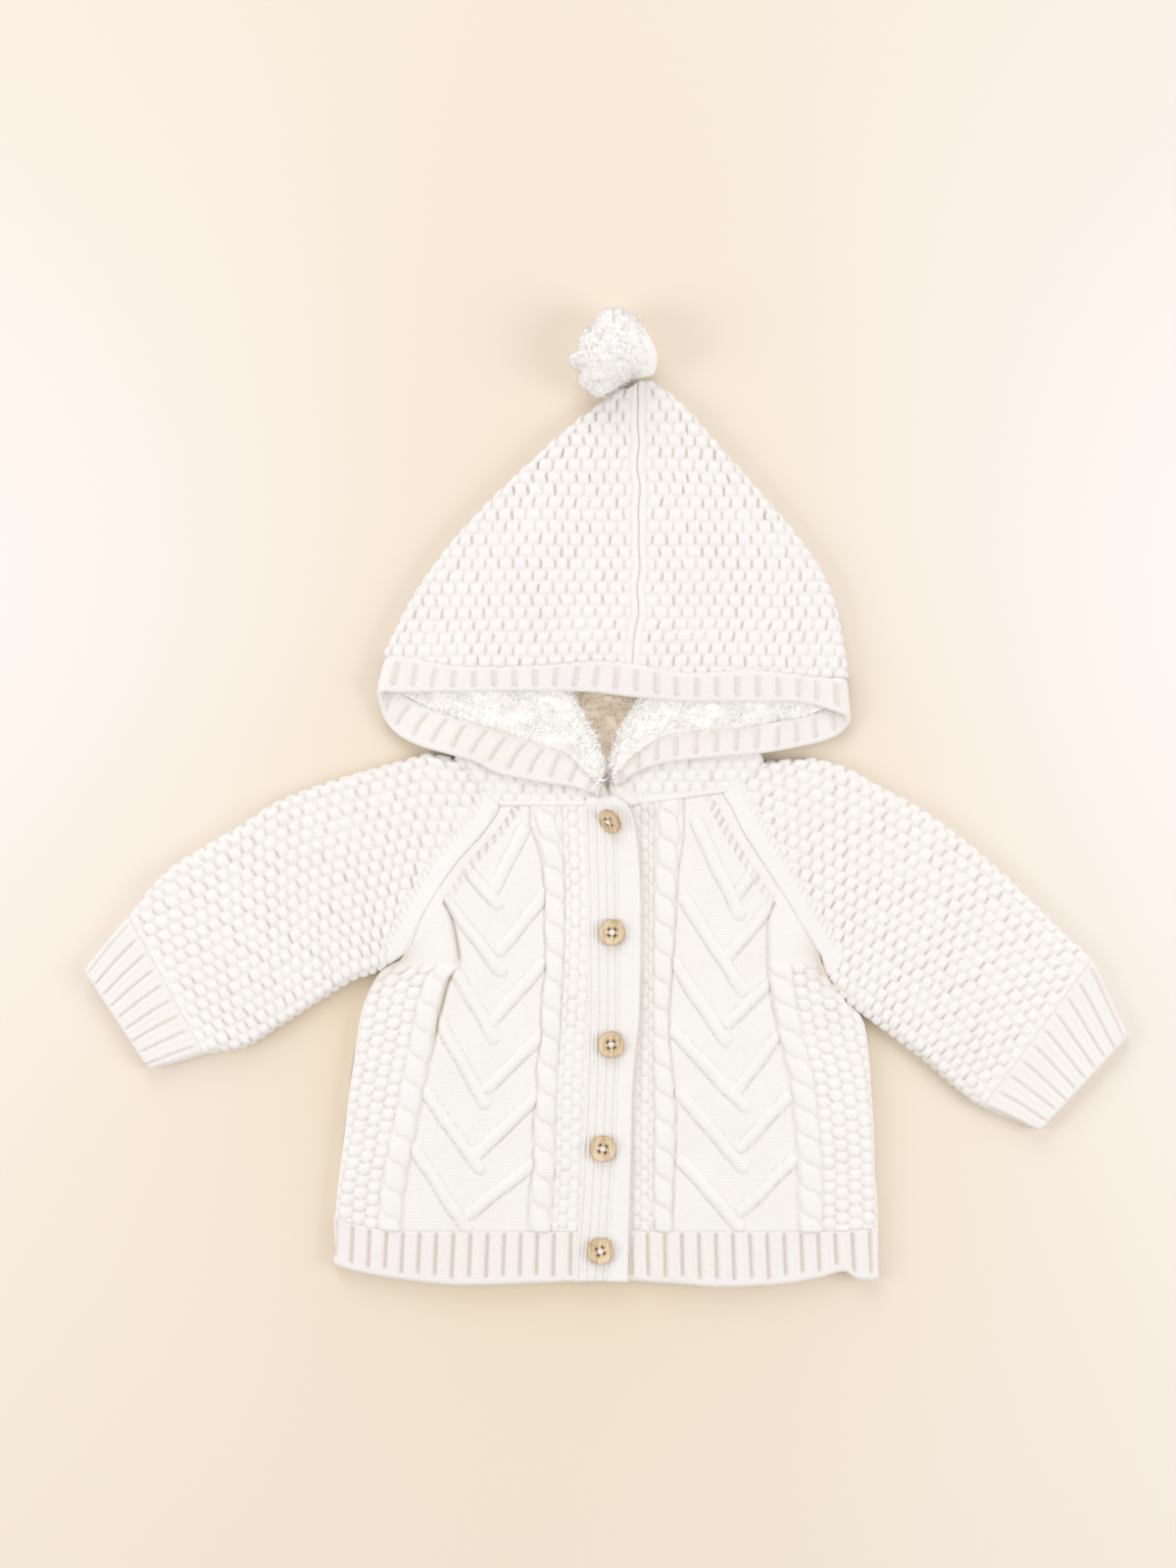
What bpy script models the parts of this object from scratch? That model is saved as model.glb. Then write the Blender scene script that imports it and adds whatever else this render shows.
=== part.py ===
"""A baby's knitted hooded coat, laid flat on its back with the sleeves spread.

+Z is up, the hood points to +Y and the wearer's right lies at -X. The origin is the middle of
the coat's outline on the surface it lies on. Sizes are in millimetres until MM turns them into
metres. Every knitted piece is a wall of its own, a seam's gap away from its neighbours.
"""

import math

import bmesh
import bpy
import numpy as np
from mathutils import Matrix, Vector

MM = 0.001
KNIT = 3.2  # thickness of the knitted wall
SEAM = 0.35  # gap that is left at a seam
LIE = 0.3  # gap between layers that lie on each other
BODY_HEIGHT = 9.2  # both layers of the body, folded at the side seams
HOOD_HEIGHT = 11.4  # both layers of the hood, at its folded outline
FLEECE = 5.0  # lining and the hidden knit under it, where the hood's fronts turn back
ARC_STEPS = 4  # facets in a quarter turn

CREAM = (0.93, 0.9, 0.87)
FLEECE_CREAM = (0.95, 0.93, 0.9)
WOOD = (0.72, 0.55, 0.36)


def table(names, *rows):
    """A short table as a dictionary of columns."""
    return {name: [row[i] for row in rows] for i, name in enumerate(names.split())}


def look(rows, key, value, name):
    """The named column at a value of the key column, read along straight lines."""
    return float(np.interp(value, rows[key], rows[name]))


def mix(a, b, share):
    return a + (b - a) * share


def smooth(share):
    share = min(1.0, max(0.0, share))
    return share * share * (3 - 2 * share)


# The body's side edges: side seams below the underarm, raglan seams above it.
BODY = table(
    "y left right",
    (-240, -150.4, 150.4),
    (-228, -149.4, 149.8),
    (-202, -146.4, 148.6),
    (-165.5, -142.5, 146.8),
    (-138, -138.6, 145),
    (-127, -136.6, 143.6),
    (-119.5, -135, 140.4),
    (-112.5, -133, 132.6),
    (-103.5, -129, 125),
    (-96.5, -123.6, 120.8),
    (-88, -112.2, 117.6),
    (-63.5, -100.3, 103.8),
    (-37.5, -84, 87.6),
    (-15.9, -65.7, 74.2),
    (-4.4, -59.2, 68.6),
    (3, -64.8, 64.8),
    (8, -68.6, 71),
)
SIDE_SEAM_TOP, SIDE_SEAM_FULL = -88, -99

# The hem band from side to side: where its rib starts and where it ends.
HEM = table(
    "x top bottom",
    (-150.4, -230, -257.5),
    (-139, -234.5, -260.6),
    (-116, -238, -265),
    (-79, -238.6, -268.6),
    (-42, -238.6, -267.6),
    (-6, -238.6, -266.2),
    (35, -238.6, -267.6),
    (63, -238.6, -269.7),
    (90.5, -238.6, -268.6),
    (118, -238.6, -264.4),
    (131, -238.2, -261),
    (139.6, -237.6, -265.6),
    (150.4, -236, -266),
)

# The buttonhole band's two edges, from the hem to the neck.
BAND = table(
    "y left right",
    (-266, -17, 12),
    (-228, -14.5, 12.7),
    (-202, -13, 13.5),
    (-165.5, -11.3, 14.3),
    (-138, -10.4, 16.4),
    (-119.5, -10, 18.3),
    (-88, -10, 19),
    (-63.5, -10.3, 19.1),
    (-37.5, -10.9, 18.4),
    (-15.9, -11.4, 15.8),
    (-4.5, -11.6, 12.2),
    (1.6, -9.4, 5.2),
)
BAND_LIFT = 6.8  # underside of the buttonhole band
UNDERLAP_LIFT, UNDERLAP = 3.5, 3.0  # the button band lies under it
PLACKET_DIP, DIP_WIDTH = 1.6, 26  # how far the left front sinks towards the button band
HEM_SEAM, HEM_END = -238.6, -266.4  # the hem band's two edges at the placket

# Sleeves: the two edges of the flattened tube, from the cuff's end to the last straight row.
# The first two rows are the cuff. height is the tube's own.
SLEEVE_RIGHT = table(
    "x_top y_top x_low y_low height",
    (-288.3, -95, -252, -150, 8.6),
    (-276, -79.5, -236.5, -145.8, 8.8),
    (-263, -64.5, -221, -141.4, 9.2),
    (-243, -41, -201, -138, 9.8),
    (-222, -27, -181, -126.5, 10),
    (-201, -15, -160, -113, 10),
    (-181, -2, -139, -100.4, 10),
    (-160, 6.5, -130, -96.2, 9.9),
    (-140, 13, -125.5, -94, 9.7),
    (-113, 20.5, -120, -91.3, 9.4),
    (-98, 25, -116.5, -89.4, 9.3),
)
SLEEVE_LEFT = table(
    "x_top y_top x_low y_low height",
    (288.3, -131, 238.4, -184.4, 8.6),
    (278, -109.8, 222.7, -177.4, 8.8),
    (267.6, -88.6, 207, -170.4, 9.2),
    (254, -76, 191, -158.5, 9.7),
    (239, -61, 177, -146, 10),
    (216, -39, 162, -134.5, 10),
    (193, -20, 148, -123, 10),
    (170, -3.5, 135, -111.6, 9.9),
    (148, 8, 126.4, -101.6, 9.6),
    (130, 18, 122.4, -94.4, 9.4),
    (114.5, 22, 119.6, -88.4, 9.3),
)
CUFF_ROWS = 2  # rows of the tables above that are the cuff's length, after its end

# Where a sleeve ends: from the shoulder fold down the neckline, then down the raglan.
SLEEVE_END_RIGHT = table(
    "x y", (-81, 22), (-59.7, -4.4), (-66.2, -15.9), (-84.5, -37.5), (-100.8, -63.5), (-112.7, -87.6)
)
SLEEVE_END_LEFT = table(
    "x y", (88, 20.5), (65.3, 3), (74.8, -15.9), (88.2, -37.5), (104.4, -63.5), (118.1, -87)
)

# The hood's outline from its mouth to its tip.
HOOD = table(
    "y left right seam",
    (8, -100, 104, 14),
    (20, -100, 104, 14),
    (28, -103, 109, 14),
    (35, -110, 118, 14),
    (45, -118, 127, 14),
    (60, -121, 131, 14),
    (66, -121.6, 133.2, 14),
    (79, -122, 132, 14.5),
    (90, -117.5, 130, 16),
    (110, -107, 125.5, 17.5),
    (130, -94, 116, 18),
    (150, -77.5, 101, 18),
    (170, -58, 84, 18),
    (190, -37, 66, 17.5),
    (205, -20, 53, 17.5),
    (218, -3, 41, 17.5),
    (230, 11, 26, 17.5),
)
# How high the hood's upper layer is along its middle.
HOOD_TOP = table("y top", (60, 19.2), (80, 18.6), (110, 16.4), (150, 14), (190, 12.4), (230, 11.4))
HOOD_RISE = 46  # distance from the outline over which the hood gains that height

# Lower edge of the hood's back layer, from the folded outline to the neckline:
# share is the place between the centre seam and the outline.
HOOD_BACK_EDGE_RIGHT = table(
    "share y", (0, 8.7), (0.72, 8.7), (0.82, 25.6), (0.94, 29.4), (0.97, 36), (0.99, 48), (1, 78.2)
)
HOOD_BACK_EDGE_LEFT = table(
    "share y", (0, 8.7), (0.62, 8.7), (0.82, 25.6), (0.94, 30), (0.97, 37), (0.99, 48), (1, 66.6)
)
TIP_RIGHT, TIP_LEFT = 220.2, 227.5  # where the hood's outline runs under the pompom
TIP_SEAM = 223.6
HOOD_MIDDLE = 14.5  # the centre seam where it meets the mouth's rib

# The face opening's rib, once round: seam edge and free edge of its middle surface. The lower
# lips show its inside, and the rows in the middle are the upper lip, whose height is the hood's.
LOWER_LIP_RIGHT = table(
    "sx sy sz fx fy fz",
    (-10.6, 12.4, 11.2, -13.4, 4.6, 11.2),
    (-14, 17.2, 11.2, -19, 6.2, 11.2),
    (-21.9, 24.2, 11.2, -27, 7.4, 11.2),
    (-33, 28.6, 11.2, -43, 10, 11.2),
    (-47, 33.4, 11.2, -59.5, 13.2, 11.2),
    (-60, 37.5, 11.2, -72, 19.8, 11.2),
    (-75, 41.5, 11.2, -84, 23.4, 11.1),
    (-91, 46.5, 9.4, -102, 28.6, 8.8),
    (-103, 51, 7, -114, 34.5, 6.4),
    (-112, 56, 5.5, -121, 41.5, 5.2),
    (-118, 65, 5.2, -124, 49, 5.5),
    (-120.4, 75.6, 7.4, -124.7, 56, 7.8),
    (-117, 77, 10, -122, 58.6, 10.6),
)
UPPER_LIP = table(
    "sx sy fx fy droop",
    (-109, 76.4, -113, 58, 0.2),
    (-95, 73.4, -99, 58, 0.3),
    (-77, 70.7, -78, 58.4, 0.5),
    (-43, 71.5, -43, 58.8, 0.7),
    (-4.6, 74, -8, 58, 0.8),
    (17.6, 72, 17.6, 55.2, 0.8),
    (43.5, 67.4, 43.5, 52.8, 0.8),
    (78, 68.6, 78, 52.6, 0.6),
    (100, 67.4, 100, 53, 0.4),
    (114, 65.8, 114, 51, 0.2),
)
LOWER_LIP_LEFT = table(
    "sx sy sz fx fy fz",
    (124, 64.8, 10.6, 125, 47.6, 10.8),
    (130, 65, 9.2, 131.6, 45.2, 9.2),
    (131.7, 61.6, 6.9, 133.2, 42, 7),
    (128.6, 54, 5.2, 130.4, 37.2, 5.3),
    (120, 47.4, 5.6, 122.6, 32.6, 5.6),
    (107, 43.6, 7.4, 108.6, 28.6, 7.2),
    (88, 40, 11.2, 87, 24.8, 11.2),
    (61, 37.6, 11.2, 60.8, 22.4, 11.2),
    (35, 34.6, 11.2, 34.8, 19.7, 11.2),
    (18, 25.4, 11.2, 18.6, 15, 11.2),
    (7, 15, 11.2, 8.6, 9, 11.2),
)

# Fleece that shows inside the mouth: the seam that it shares with the rib, and its rounded edge
# along the gap in the middle.
FLEECE_SEAM_RIGHT = table(
    "share x y",
    (0, -2.8, 8.6),
    (0.07, -10.2, 13.4),
    (0.11, -13.8, 18.2),
    (0.17, -21.6, 25.2),
    (0.27, -33, 29.4),
    (0.39, -47, 34.3),
    (0.51, -60, 38.4),
    (0.64, -75, 42.4),
    (0.8, -91, 47.4),
    (0.9, -102, 51.8),
    (1, -110, 56.4),
)
FLEECE_SEAM_LEFT = table(
    "share x y",
    (0, 3, 11.6),
    (0.04, 7, 16),
    (0.13, 17.7, 26.4),
    (0.3, 35, 35.6),
    (0.52, 61.2, 38.6),
    (0.68, 80, 40.2),
    (0.82, 96, 42.8),
    (0.92, 107.2, 44.8),
    (1, 116, 47.6),
)
GAP_EDGE_RIGHT = table(
    "share x y",
    (0, -2.8, 8.6),
    (0.15, -1.2, 19),
    (0.34, -6.2, 32),
    (0.46, -10, 40.2),
    (0.7, -18.8, 56),
    (1, -31, 80),
)
GAP_EDGE_LEFT = table(
    "share x y",
    (0, 3, 11.6),
    (0.13, 2.4, 19.5),
    (0.34, 7, 33),
    (0.46, 10, 40.2),
    (0.7, 19.6, 55),
    (1, 33, 77),
)
FLEECE_FAR_RIGHT = (-108, 74.5)
FLEECE_FAR_LEFT = (117, 63.5)
FLEECE_WIDTH = 105  # from the gap to the mouth's corner
FLEECE_EDGE = 7  # how far in the fleece takes to reach its full thickness
FLEECE_THIN = 1.2  # its least thickness, in the corners
MOUTH_AIR = 1  # what stays open above the fleece under the hood's upper layer
SINK_RIGHT, SINK_LEFT = (99, 122), (80, 102)  # distances from the middle over which it sinks

# The hood's fronts between the neckline and the lips that are turned back over them.
NECK_RIGHT = table(
    "y outer inner",
    (-4, -59.5, -12.2),
    (0.4, -63, -10.9),
    (8.5, -69.4, -2.6),
    (21.5, -79.8, -3),
    (34, -76, -8),
    (46, -72, -13.6),
)
NECK_LEFT = table(
    "y outer inner",
    (-4, 65.5, 12.9),
    (2.4, 65.5, 5.6),
    (10, 73.6, 3.8),
    (20, 86, 3.8),
    (32, 80, 7.6),
    (44, 76, 12.6),
)
NECKLINE_LEFT = table("x y", (12, -4.4), (65, 3))  # the left front's top edge rises to its raglan

POMPOM_AT = (4.6, 243.6, 17.2)
POMPOM_HALF = (24, 23.8, 17.2)
POMPOM_TOP = (24, 25.8, 17.2)  # it is longer on the side away from the hood
POMPOM_LUMP = 0.012  # share of its radius by which its surface is uneven

BUTTON_PLACES = table("x y", (1.9, -12.7), (3.2, -73.7), (2.7, -135.3), (-1.9, -192.5), (-3.2, -248.7))
BUTTON_RADIUS, BUTTON_THICK = 7.3, 3.0
BUTTON_RIM = 0.6
BUTTON_HOLE, BUTTON_HOLE_AT = 0.9, 1.9  # the radius of a hole and its distance from the middle


for old in list(bpy.data.objects):
    bpy.data.objects.remove(old)
coat = bpy.data.collections.new("baby_coat")
cutters = bpy.data.collections.new("cutters")
for group in (coat, cutters):
    bpy.context.scene.collection.children.link(group)


def material(name, colour, roughness):
    made = bpy.data.materials.new(name)
    made.use_nodes = True
    shader = made.node_tree.nodes["Principled BSDF"]
    shader.inputs["Base Color"].default_value = (*colour, 1)
    shader.inputs["Roughness"].default_value = roughness
    return made


KNIT_CLOTH = material("knit", CREAM, 0.9)
FLEECE_CLOTH = material("fleece", FLEECE_CREAM, 0.95)
BUTTON_WOOD = material("wood", WOOD, 0.55)


def add(name, bm, cloth, group=coat):
    """Turns a bmesh into a named object of the coat."""
    mesh = bpy.data.meshes.new(name)
    bm.to_mesh(mesh)
    bm.free()
    mesh.materials.append(cloth)
    made = bpy.data.objects.new(name, mesh)
    group.objects.link(made)
    return made


def wall(name, across, along, place, cloth=KNIT_CLOTH, ring=False):
    """A closed wall from a flat grid: place(a, b, w) puts each point, in millimetres.

    across and along list the values of a and b. w is 0 on the inner face and 1 on the outer
    one. A ring's last column comes back to its first, and the two are welded.
    """
    bm = bmesh.new()
    bmesh.ops.create_grid(bm, x_segments=len(across) - 1, y_segments=len(along) - 1, size=0.5)
    outer = bmesh.ops.extrude_face_region(bm, geom=bm.faces[:], use_keep_orig=True)["geom"]
    bmesh.ops.translate(bm, verts=[v for v in outer if isinstance(v, bmesh.types.BMVert)], vec=(0, 0, 1))
    if ring:
        ends = [f for f in bm.faces if all(abs(v.co.x) > 0.4999 for v in f.verts)]
        bmesh.ops.delete(bm, geom=ends, context="FACES_ONLY")
    for v in bm.verts:
        a = across[round((v.co.x + 0.5) * (len(across) - 1))]
        b = along[round((v.co.y + 0.5) * (len(along) - 1))]
        v.co = Vector(place(a, b, round(v.co.z))) * MM
    if ring:
        bmesh.ops.remove_doubles(bm, verts=bm.verts[:], dist=0.01 * MM)
    bmesh.ops.recalc_face_normals(bm, faces=bm.faces[:])
    if bm.calc_volume(signed=True) < 0:
        bmesh.ops.reverse_faces(bm, faces=bm.faces[:])
    return add(name, bm, cloth)


def offset(surface, thickness):
    """Gives a middle surface a wall: place(a, b, w) moved along its normal."""
    step = 0.01

    def place(a, b, w):
        here = Vector(surface(a, b))
        low_a, high_a = max(0, a - step), min(1, a + step)
        low_b, high_b = max(0, b - step), min(1, b + step)
        normal = (Vector(surface(high_a, b)) - Vector(surface(low_a, b))).cross(
            Vector(surface(a, high_b)) - Vector(surface(a, low_b))
        )
        return here + normal.normalized() * (w - 0.5) * thickness

    return place


def quarter(steps=ARC_STEPS):
    """Angles of a quarter turn, from the folded edge up to the flat."""
    return [math.pi / 2 * i / steps for i in range(steps + 1)]


# Body ------------------------------------------------------------------------------------
BODY_ROWS = (-236,) + tuple(y for y in BODY["y"] if -240 < y < 0)
HALF = BODY_HEIGHT / 2


def folded_edge(edge_x, inward, angle, w, round_share, up):
    """A point of the body's side edge: a quarter turn at the side seam, flat at the raglan."""
    radius = HALF - KNIT * (1 - w)
    reach = mix(HALF * (1 - math.cos(angle)), HALF - radius * math.cos(angle), round_share)
    height = mix(radius, radius * math.sin(angle), round_share)
    return edge_x + inward * reach, HALF + up * max(height, SEAM / 2)


def side_round(y):
    return smooth((SIDE_SEAM_TOP - y) / (SIDE_SEAM_TOP - SIDE_SEAM_FULL))


def body_point(side, column, y, w, inner_x, up):
    """column is an angle of the folded edge up to a right angle, then 2 to 3 across the flat."""
    edge_x, inward = look(BODY, "y", y, side), 1 if side == "left" else -1
    x, z = folded_edge(edge_x, inward, min(column, math.pi / 2), w, side_round(y), up)
    if column >= 2:
        x = mix(x, inner_x, column - 2)
        z = HALF + up * (HALF - KNIT * (1 - w))
    return x, y, z


FRONT_COLUMNS = quarter() + [2.2, 2.45, 2.75, 3]


def front_right(column, row, w):
    return body_point("left", column, row, w, look(BAND, "y", row, "left") - SEAM, 1)


def front_left(column, row, w):
    inner_x = look(BAND, "y", row, "right") + 2 * SEAM
    x, y, z = body_point("right", column, row, w, inner_x, 1)
    for _ in range(4 if row == BODY_ROWS[-1] else 0):  # settles the top row on the neckline
        y = look(NECKLINE_LEFT, "x", x, "y")
        x, _, z = body_point("right", column, y, w, inner_x, 1)
    near = 1 - smooth((x - look(BAND, "y", y, "right")) / DIP_WIDTH)
    return x, y, z - PLACKET_DIP * near


def hem_top(x):
    return look(HEM, "x", x, "top")


def above_hem(place):
    """Ends a panel along the hem's seam, which is not quite straight."""

    def placed(column, row, w):
        x, y, z = place(column, row, w)
        return x, max(y, hem_top(x) + SEAM / 2) if row < BODY_ROWS[1] else y, z

    return placed


wall("front_right", FRONT_COLUMNS, BODY_ROWS, above_hem(front_right))
wall("front_left", FRONT_COLUMNS, BODY_ROWS, above_hem(front_left))

BACK_ROWS = BODY_ROWS + (3, 8)
BACK_COLUMNS = [("left", c) for c in quarter()] + [("left", 2.5), ("left", 3)]
BACK_COLUMNS += [("right", 2.5)] + [("right", c) for c in reversed(quarter())]


def back(column, row, w):
    side, place = column
    return body_point(side, place, row, w, 0, -1)


wall("back", BACK_COLUMNS, BACK_ROWS, above_hem(back))

# Hem ---------------------------------------------------------------------------------------
HEM_ROWS = (0, 0.5, 1)


def hem_point(side, column, row, w, inner_x, up):
    """row runs from the free edge, 0, to the seam, 1."""
    edge_x, inward = look(BODY, "y", -240, side), 1 if side == "left" else -1
    x, z = folded_edge(edge_x, inward, min(column, math.pi / 2), w, 1, up)
    if column >= 2:
        x = mix(x, inner_x, column - 2)
        z = HALF + up * (HALF - KNIT * (1 - w))
    return x, mix(look(HEM, "x", x, "bottom"), hem_top(x) - SEAM / 2, row), z


def hem_front_right(column, row, w):
    band_edge = look(BAND, "y", mix(HEM_END, HEM_SEAM, row), "left")
    return hem_point("left", column, row, w, band_edge - SEAM, 1)


def hem_front_left(column, row, w):
    band_edge = look(BAND, "y", mix(HEM_END, HEM_SEAM, row), "right")
    x, y, z = hem_point("right", column, row, w, band_edge + 2 * SEAM, 1)
    return x, y, z - PLACKET_DIP * (1 - smooth((x - band_edge) / DIP_WIDTH))


def hem_back(column, row, w):
    side, place = column
    return hem_point(side, place, row, w, 0, -1)


HEM_FRONT_COLUMNS = quarter() + [2.1, 2.3, 2.5, 2.7, 2.85, 3]
wall("hem_front_right", HEM_FRONT_COLUMNS, HEM_ROWS, hem_front_right)
wall("hem_front_left", HEM_FRONT_COLUMNS, HEM_ROWS, hem_front_left)
HEM_BACK_COLUMNS = [("left", c) for c in quarter()] + [("left", c) for c in (2.2, 2.5, 2.75, 3)]
HEM_BACK_COLUMNS += [("right", c) for c in (2.75, 2.5, 2.2)] + [("right", c) for c in reversed(quarter())]
wall("hem_back", HEM_BACK_COLUMNS, HEM_ROWS, hem_back)


# Placket -----------------------------------------------------------------------------------
def buttonhole_band(share, y, w):
    x = mix(look(BAND, "y", y, "left"), look(BAND, "y", y, "right"), share)
    return x, y, BAND_LIFT + KNIT * w


def button_band(share, y, w):
    left, right = look(BAND, "y", y, "left"), look(BAND, "y", y, "right") + SEAM
    return mix(left, right, share), y, UNDERLAP_LIFT + UNDERLAP * w


wall("buttonhole_band", (0, 0.5, 1), BAND["y"], buttonhole_band)
wall("button_band", (0, 1), BAND["y"], button_band)


# Sleeves -----------------------------------------------------------------------------------
def path_lengths(path):
    """How far along its length, from 0 to 1, each point of a path lies."""
    steps = np.hypot(np.diff(path["x"]), np.diff(path["y"]))
    along = np.concatenate([[0], np.cumsum(steps)])
    return along / along[-1], float(along[-1])


def sleeve_line(rows, end, station, share):
    """A point of the sleeve's crosswise line at a station, and that line's length."""
    last = len(rows["x_top"]) - 1
    index = list(range(last + 1))
    upper = Vector([np.interp(station, index, rows[c]) for c in ("x_top", "y_top")])
    lower = Vector([np.interp(station, index, rows[c]) for c in ("x_low", "y_low")])
    here, length = upper.lerp(lower, share), (lower - upper).length
    if station > last:
        shares, end_length = path_lengths(end)
        there = Vector([np.interp(share, shares, end[c]) for c in ("x", "y")])
        here, length = here.lerp(there, station - last), mix(length, end_length, station - last)
    return here, length


def ring_columns(shares):
    """Columns once round a flattened tube: upper layer, lower fold, lower layer, upper fold."""
    turn = [math.pi * i / (2 * ARC_STEPS) for i in range(1, 2 * ARC_STEPS)]
    columns = [("over", s) for s in shares] + [("low_fold", a) for a in turn]
    columns += [("under", s) for s in reversed(shares)] + [("top_fold", a) for a in turn]
    return columns + [("over", shares[0])]


def tube(rows, end):
    """place() of a flattened tube whose crosswise lines are the sleeve's."""

    def place(column, station, w):
        kind, value = column
        last = len(rows["height"]) - 1
        height = float(np.interp(min(station, last), range(last + 1), rows["height"]))
        half = height / 2
        radius = half - KNIT * (1 - w)
        length = sleeve_line(rows, end, station, 0.5)[1]
        inset = half / length
        if kind in ("over", "under"):
            share = min(1 - inset, max(inset, value))
            z = half + radius * (1 if kind == "over" else -1)
        else:
            reach = radius * math.sin(value) / length
            low = kind == "low_fold"
            share = 1 - inset + reach if low else inset - reach
            z = half + radius * math.cos(value) * (1 if low else -1)
        x, y = sleeve_line(rows, end, station, share)[0]
        return x, y, z

    return place


def sleeve(side, rows, end):
    shares, _ = path_lengths(end)
    columns = ring_columns([0] + list(shares[1:-1]) + [1])
    last = len(rows["x_top"]) - 1
    seam = 0.02  # of the step from the cuff's last row to the next, so that a seam's gap is left
    stations = [CUFF_ROWS + seam] + list(range(CUFF_ROWS + 1, last + 1)) + [last + 1]
    wall(f"sleeve_{side}", columns, stations, tube(rows, end), ring=True)
    wall(f"cuff_{side}", columns, [0, 1, CUFF_ROWS], tube(rows, end), ring=True)


sleeve("right", SLEEVE_RIGHT, SLEEVE_END_RIGHT)
sleeve("left", SLEEVE_LEFT, SLEEVE_END_LEFT)


# Hood --------------------------------------------------------------------------------------
def hood_top(x, y):
    """Height of the hood's upper layer: low at its outline, highest over the mouth."""
    edge = min(x - look(HOOD, "y", y, "left"), look(HOOD, "y", y, "right") - x)
    return mix(HOOD_HEIGHT, look(HOOD_TOP, "y", y, "top"), smooth(edge / HOOD_RISE))


def mouth_reach(side, back_edge):
    """How far the upper layer's flat reaches sideways from the centre seam, at the mouth."""
    sign = -1 if side == "left" else 1
    return look(HOOD, "y", back_edge["y"][-1], side) - sign * HOOD_HEIGHT / 2 - HOOD_MIDDLE


def hood_half(side, back_edge, tip):
    """place() of one half: from the centre seam round the outline to the seam underneath."""
    sign = -1 if side == "left" else 1
    half = HOOD_HEIGHT / 2
    reach = mouth_reach(side, back_edge)

    def place(column, row, w):
        kind, value = column
        share = 1 if kind == "fold" else value
        low = look(back_edge, "share", share, "y")
        if kind == "over" and share < 1:
            low = look(UPPER_LIP, "sx", HOOD_MIDDLE + share * reach, "sy") + 2 * SEAM
        y = mix(low, mix(TIP_SEAM, tip, share), row)
        outline, seam = look(HOOD, "y", y, side), look(HOOD, "y", y, "seam")
        seam += sign * SEAM / 2
        radius = half - KNIT * (1 - w)
        if kind == "fold":
            return outline - sign * (half - radius * math.sin(value)), y, half + radius * math.cos(value)
        x = mix(seam, outline - sign * half, share)
        z = hood_top(x, y) - KNIT * (1 - w) if kind == "over" else KNIT * (1 - w)
        return x, y, z

    return place


HOOD_ROWS = [i / 10 for i in range(11)]
FOLD = [("fold", math.pi * i / 8) for i in range(1, 8)]
for hood_side, wearer, edge, tip_y in (
    ("left", "right", HOOD_BACK_EDGE_RIGHT, TIP_RIGHT),
    ("right", "left", HOOD_BACK_EDGE_LEFT, TIP_LEFT),
):
    shares = [(x - HOOD_MIDDLE) / mouth_reach(hood_side, edge) for x in UPPER_LIP["sx"]]
    over = [("over", s) for s in [0] + sorted(s for s in shares if 0.05 < s < 0.98) + [1]]
    under = [("under", s) for s in reversed(edge["share"])]
    wall(f"hood_{wearer}", over + FOLD + under, HOOD_ROWS, hood_half(hood_side, edge, tip_y))


# Neck of the hood's fronts -----------------------------------------------------------------
def hood_neck(rows, neckline=None):
    def place(share, row, w):
        x = mix(look(rows, "y", row, "inner"), look(rows, "y", row, "outer"), share)
        y = row
        if neckline:
            y = max(y, look(neckline, "x", x, "y") + SEAM)
        return x, y, BODY_HEIGHT - KNIT * (1 - w)

    return place


wall("hood_neck_right", (0, 0.5, 1), NECK_RIGHT["y"], hood_neck(NECK_RIGHT))
wall("hood_neck_left", (0, 0.28, 0.56, 0.8, 1), NECK_LEFT["y"], hood_neck(NECK_LEFT, NECKLINE_LEFT))


# Fleece ------------------------------------------------------------------------------------
def lapel(seam, gap_edge, far, sink):
    """place() of the turned-back lining: from the gap in the middle out to the mouth's corner."""

    def place(share, row, w):
        low = Vector([look(seam, "share", share, c) for c in ("x", "y")])
        near = Vector([look(gap_edge, "share", row, c) for c in ("x", "y")])
        near_top = Vector([look(gap_edge, "share", 1, c) for c in ("x", "y")])
        near_low = Vector([look(gap_edge, "share", 0, c) for c in ("x", "y")])
        far_low = Vector([look(seam, "share", 1, c) for c in ("x", "y")])
        far_top = Vector(far)
        x, y = (
            low.lerp(near_top.lerp(far_top, share), row)
            + near.lerp(far_low.lerp(far_top, row), share)
            - near_low.lerp(far_low, share).lerp(near_top.lerp(far_top, share), row)
        )
        out = smooth((abs(x - HOOD_MIDDLE) - sink[0]) / (sink[1] - sink[0]))
        bottom = mix(BODY_HEIGHT + LIE, KNIT + 2 * LIE, out)
        plump = math.sqrt(max(0.05, 1 - (1 - min(1, share * FLEECE_WIDTH / FLEECE_EDGE)) ** 2))
        top = min(bottom + FLEECE, hood_top(x, y) - KNIT - LIE - MOUTH_AIR)
        return x, y, mix(bottom, max(top, bottom + FLEECE_THIN), plump) if w else bottom

    return place


FLEECE_ROWS = (0, 0.14, 0.34, 0.46, 0.7, 1)
ROUNDING = [0, 0.015, 0.035]
wall(
    "lining_right",
    ROUNDING + FLEECE_SEAM_RIGHT["share"][1:],
    FLEECE_ROWS,
    lapel(FLEECE_SEAM_RIGHT, GAP_EDGE_RIGHT, FLEECE_FAR_RIGHT, SINK_RIGHT),
    FLEECE_CLOTH,
)
wall(
    "lining_left",
    ROUNDING + FLEECE_SEAM_LEFT["share"][1:],
    FLEECE_ROWS,
    lapel(FLEECE_SEAM_LEFT, GAP_EDGE_LEFT, FLEECE_FAR_LEFT, SINK_LEFT),
    FLEECE_CLOTH,
)

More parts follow.
